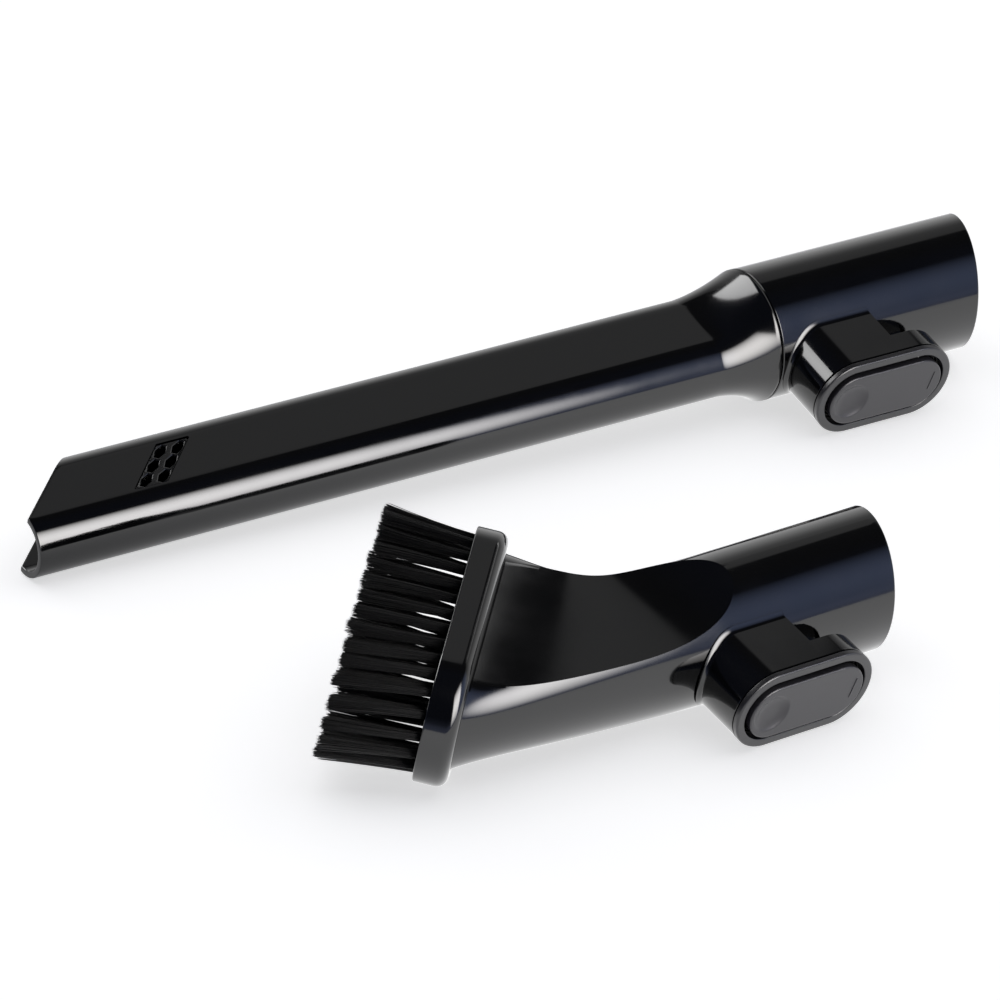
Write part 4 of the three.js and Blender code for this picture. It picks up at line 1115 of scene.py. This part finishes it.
def grey_ramp(tree, height, steps, tint):
    """Greys at their heights, blended in between and each times the tint."""
    ramp = add_node(tree, "ShaderNodeValToRGB", Fac=height)
    elements = ramp.color_ramp.elements
    for position, _ in steps[2:]:
        elements.new(position)
    for element, (position, grey) in zip(elements, steps):
        element.position = position
        element.color = (grey * tint[0], grey * tint[1], grey * tint[2], 1)
    return ramp.outputs["Color"]


def add_room():
    """Room seen in the gloss: behind the tools a wall that darkens upwards, with a dim panel and a bright
    side glow over it, and in front a faint blue light low down. Azimuth is arctan(x / y) and Z is the
    sine of the elevation."""
    world = bpy.data.worlds.new("room")
    world.use_nodes = True
    tree = world.node_tree
    place = add_node(tree, "ShaderNodeTexCoord").outputs["Generated"]
    way = add_node(tree, "ShaderNodeSeparateXYZ", Vector=place).outputs
    azimuth = maths(tree, "ARCTAN2", way["X"], way["Y"])
    behind = maths(tree, "DOT_PRODUCT", place, toward(WALL_AZIMUTH, 0.0), kind="ShaderNodeVectorMath")

    def share(source, start, end):
        return map_range(tree, source, start, end, interpolation="SMOOTHSTEP")

    def between(azimuths, top):
        """Share that rises and falls again over four azimuths, times the share below a top."""
        a, b, c, d = (math.radians(angle) for angle in azimuths)
        span = maths(tree, "MULTIPLY", share(azimuth, a, b), share(azimuth, d, c))
        return maths(tree, "MULTIPLY", span, top)

    panel = between(PANEL_AZIMUTHS, share(way["Z"], PANEL_TOP[1], PANEL_TOP[0]))
    leaning = maths(tree, "MULTIPLY_ADD", azimuth, SIDE_GLOW_LEAN, way["Z"])
    side = between(SIDE_GLOW_AZIMUTHS, share(leaning, SIDE_GLOW_TOP[1], SIDE_GLOW_TOP[0]))
    side = maths(tree, "MULTIPLY", side, share(way["Z"], *SIDE_GLOW_FOOT))
    lit = maths(tree, "MULTIPLY_ADD", side, SIDE_GLOW, maths(tree, "MULTIPLY", panel, PANEL_GLOW))
    back = maths(tree, "MAXIMUM", lit, grey_ramp(tree, way["Z"], WALL_STEPS, WALL_TINT))
    mix = add_node(tree, "ShaderNodeMix", {"data_type": "RGBA"}, Factor=share(behind, *WALL_EDGE))
    tree.links.new(grey_ramp(tree, way["Z"], LOW_STEPS, LOW_TINT), mix.inputs[6])
    tree.links.new(back, mix.inputs[7])
    tree.links.new(mix.outputs[2], tree.nodes["Background"].inputs["Color"])
    bpy.context.scene.world = world


def add_light():
    """One great soft lamp lights the paper and is too even to mirror. The rest are panels that only the
    gloss shows."""
    add_room()
    key = add_lamp("overhead diffuser", 30, 78, 2.2, (5.0, 4.0), 0.64, "#ffffff")
    key.visible_glossy = False
    panels = [
        add_lamp("front softbox", 169.5, 31.5, 1.0, (0.80, 1.15), 16.0, "#fbf8f6", soft=0.975),
        add_lamp("blue window", 136, 27, 1.05, (1.2, 1.1), 1.75, "#98a8d2", (0.06, 0.0, 0.02), 0.92,
                 (2.0, 2.0)),
        add_lamp("left card", -43, 39, 0.5, (0.40, 0.21), 8.0, "#ffffff", (0.072, 0.073, 0.035), 0.15),
    ]
    for panel in panels:
        panel.visible_diffuse = False


view = bpy.context.scene.view_settings
view.view_transform = "Standard"
add_camera()
add_floor()
add_light()

tube = crevice_tube()
cut_grille_pocket(tube)
finish_piece(tube, GLOSS, "crevice_tool", "crevice_tube")
finish_piece(vent_grille(), GRILLE_BLACK, "crevice_tool", "crevice_vent_grille")
finish_piece(crevice_collar(), GLOSS, "crevice_tool", "crevice_collar")
finish_piece(brush_neck(), GLOSS, "brush_tool", "brush_neck")
finish_piece(rim_band(), GLOSS, "brush_tool", "brush_rim_band")
finish_piece(bristle_carrier(), SATIN, "brush_tool", "brush_bristle_carrier")
add_bristles()
for tool in ("crevice", "brush"):
    add_latch(tool)
    for node in (f"{tool}_pivot_pin", f"{tool}_return_spring"):
        frame["nodes"][node].data.materials.clear()
        frame["nodes"][node].data.materials.append(STEEL)
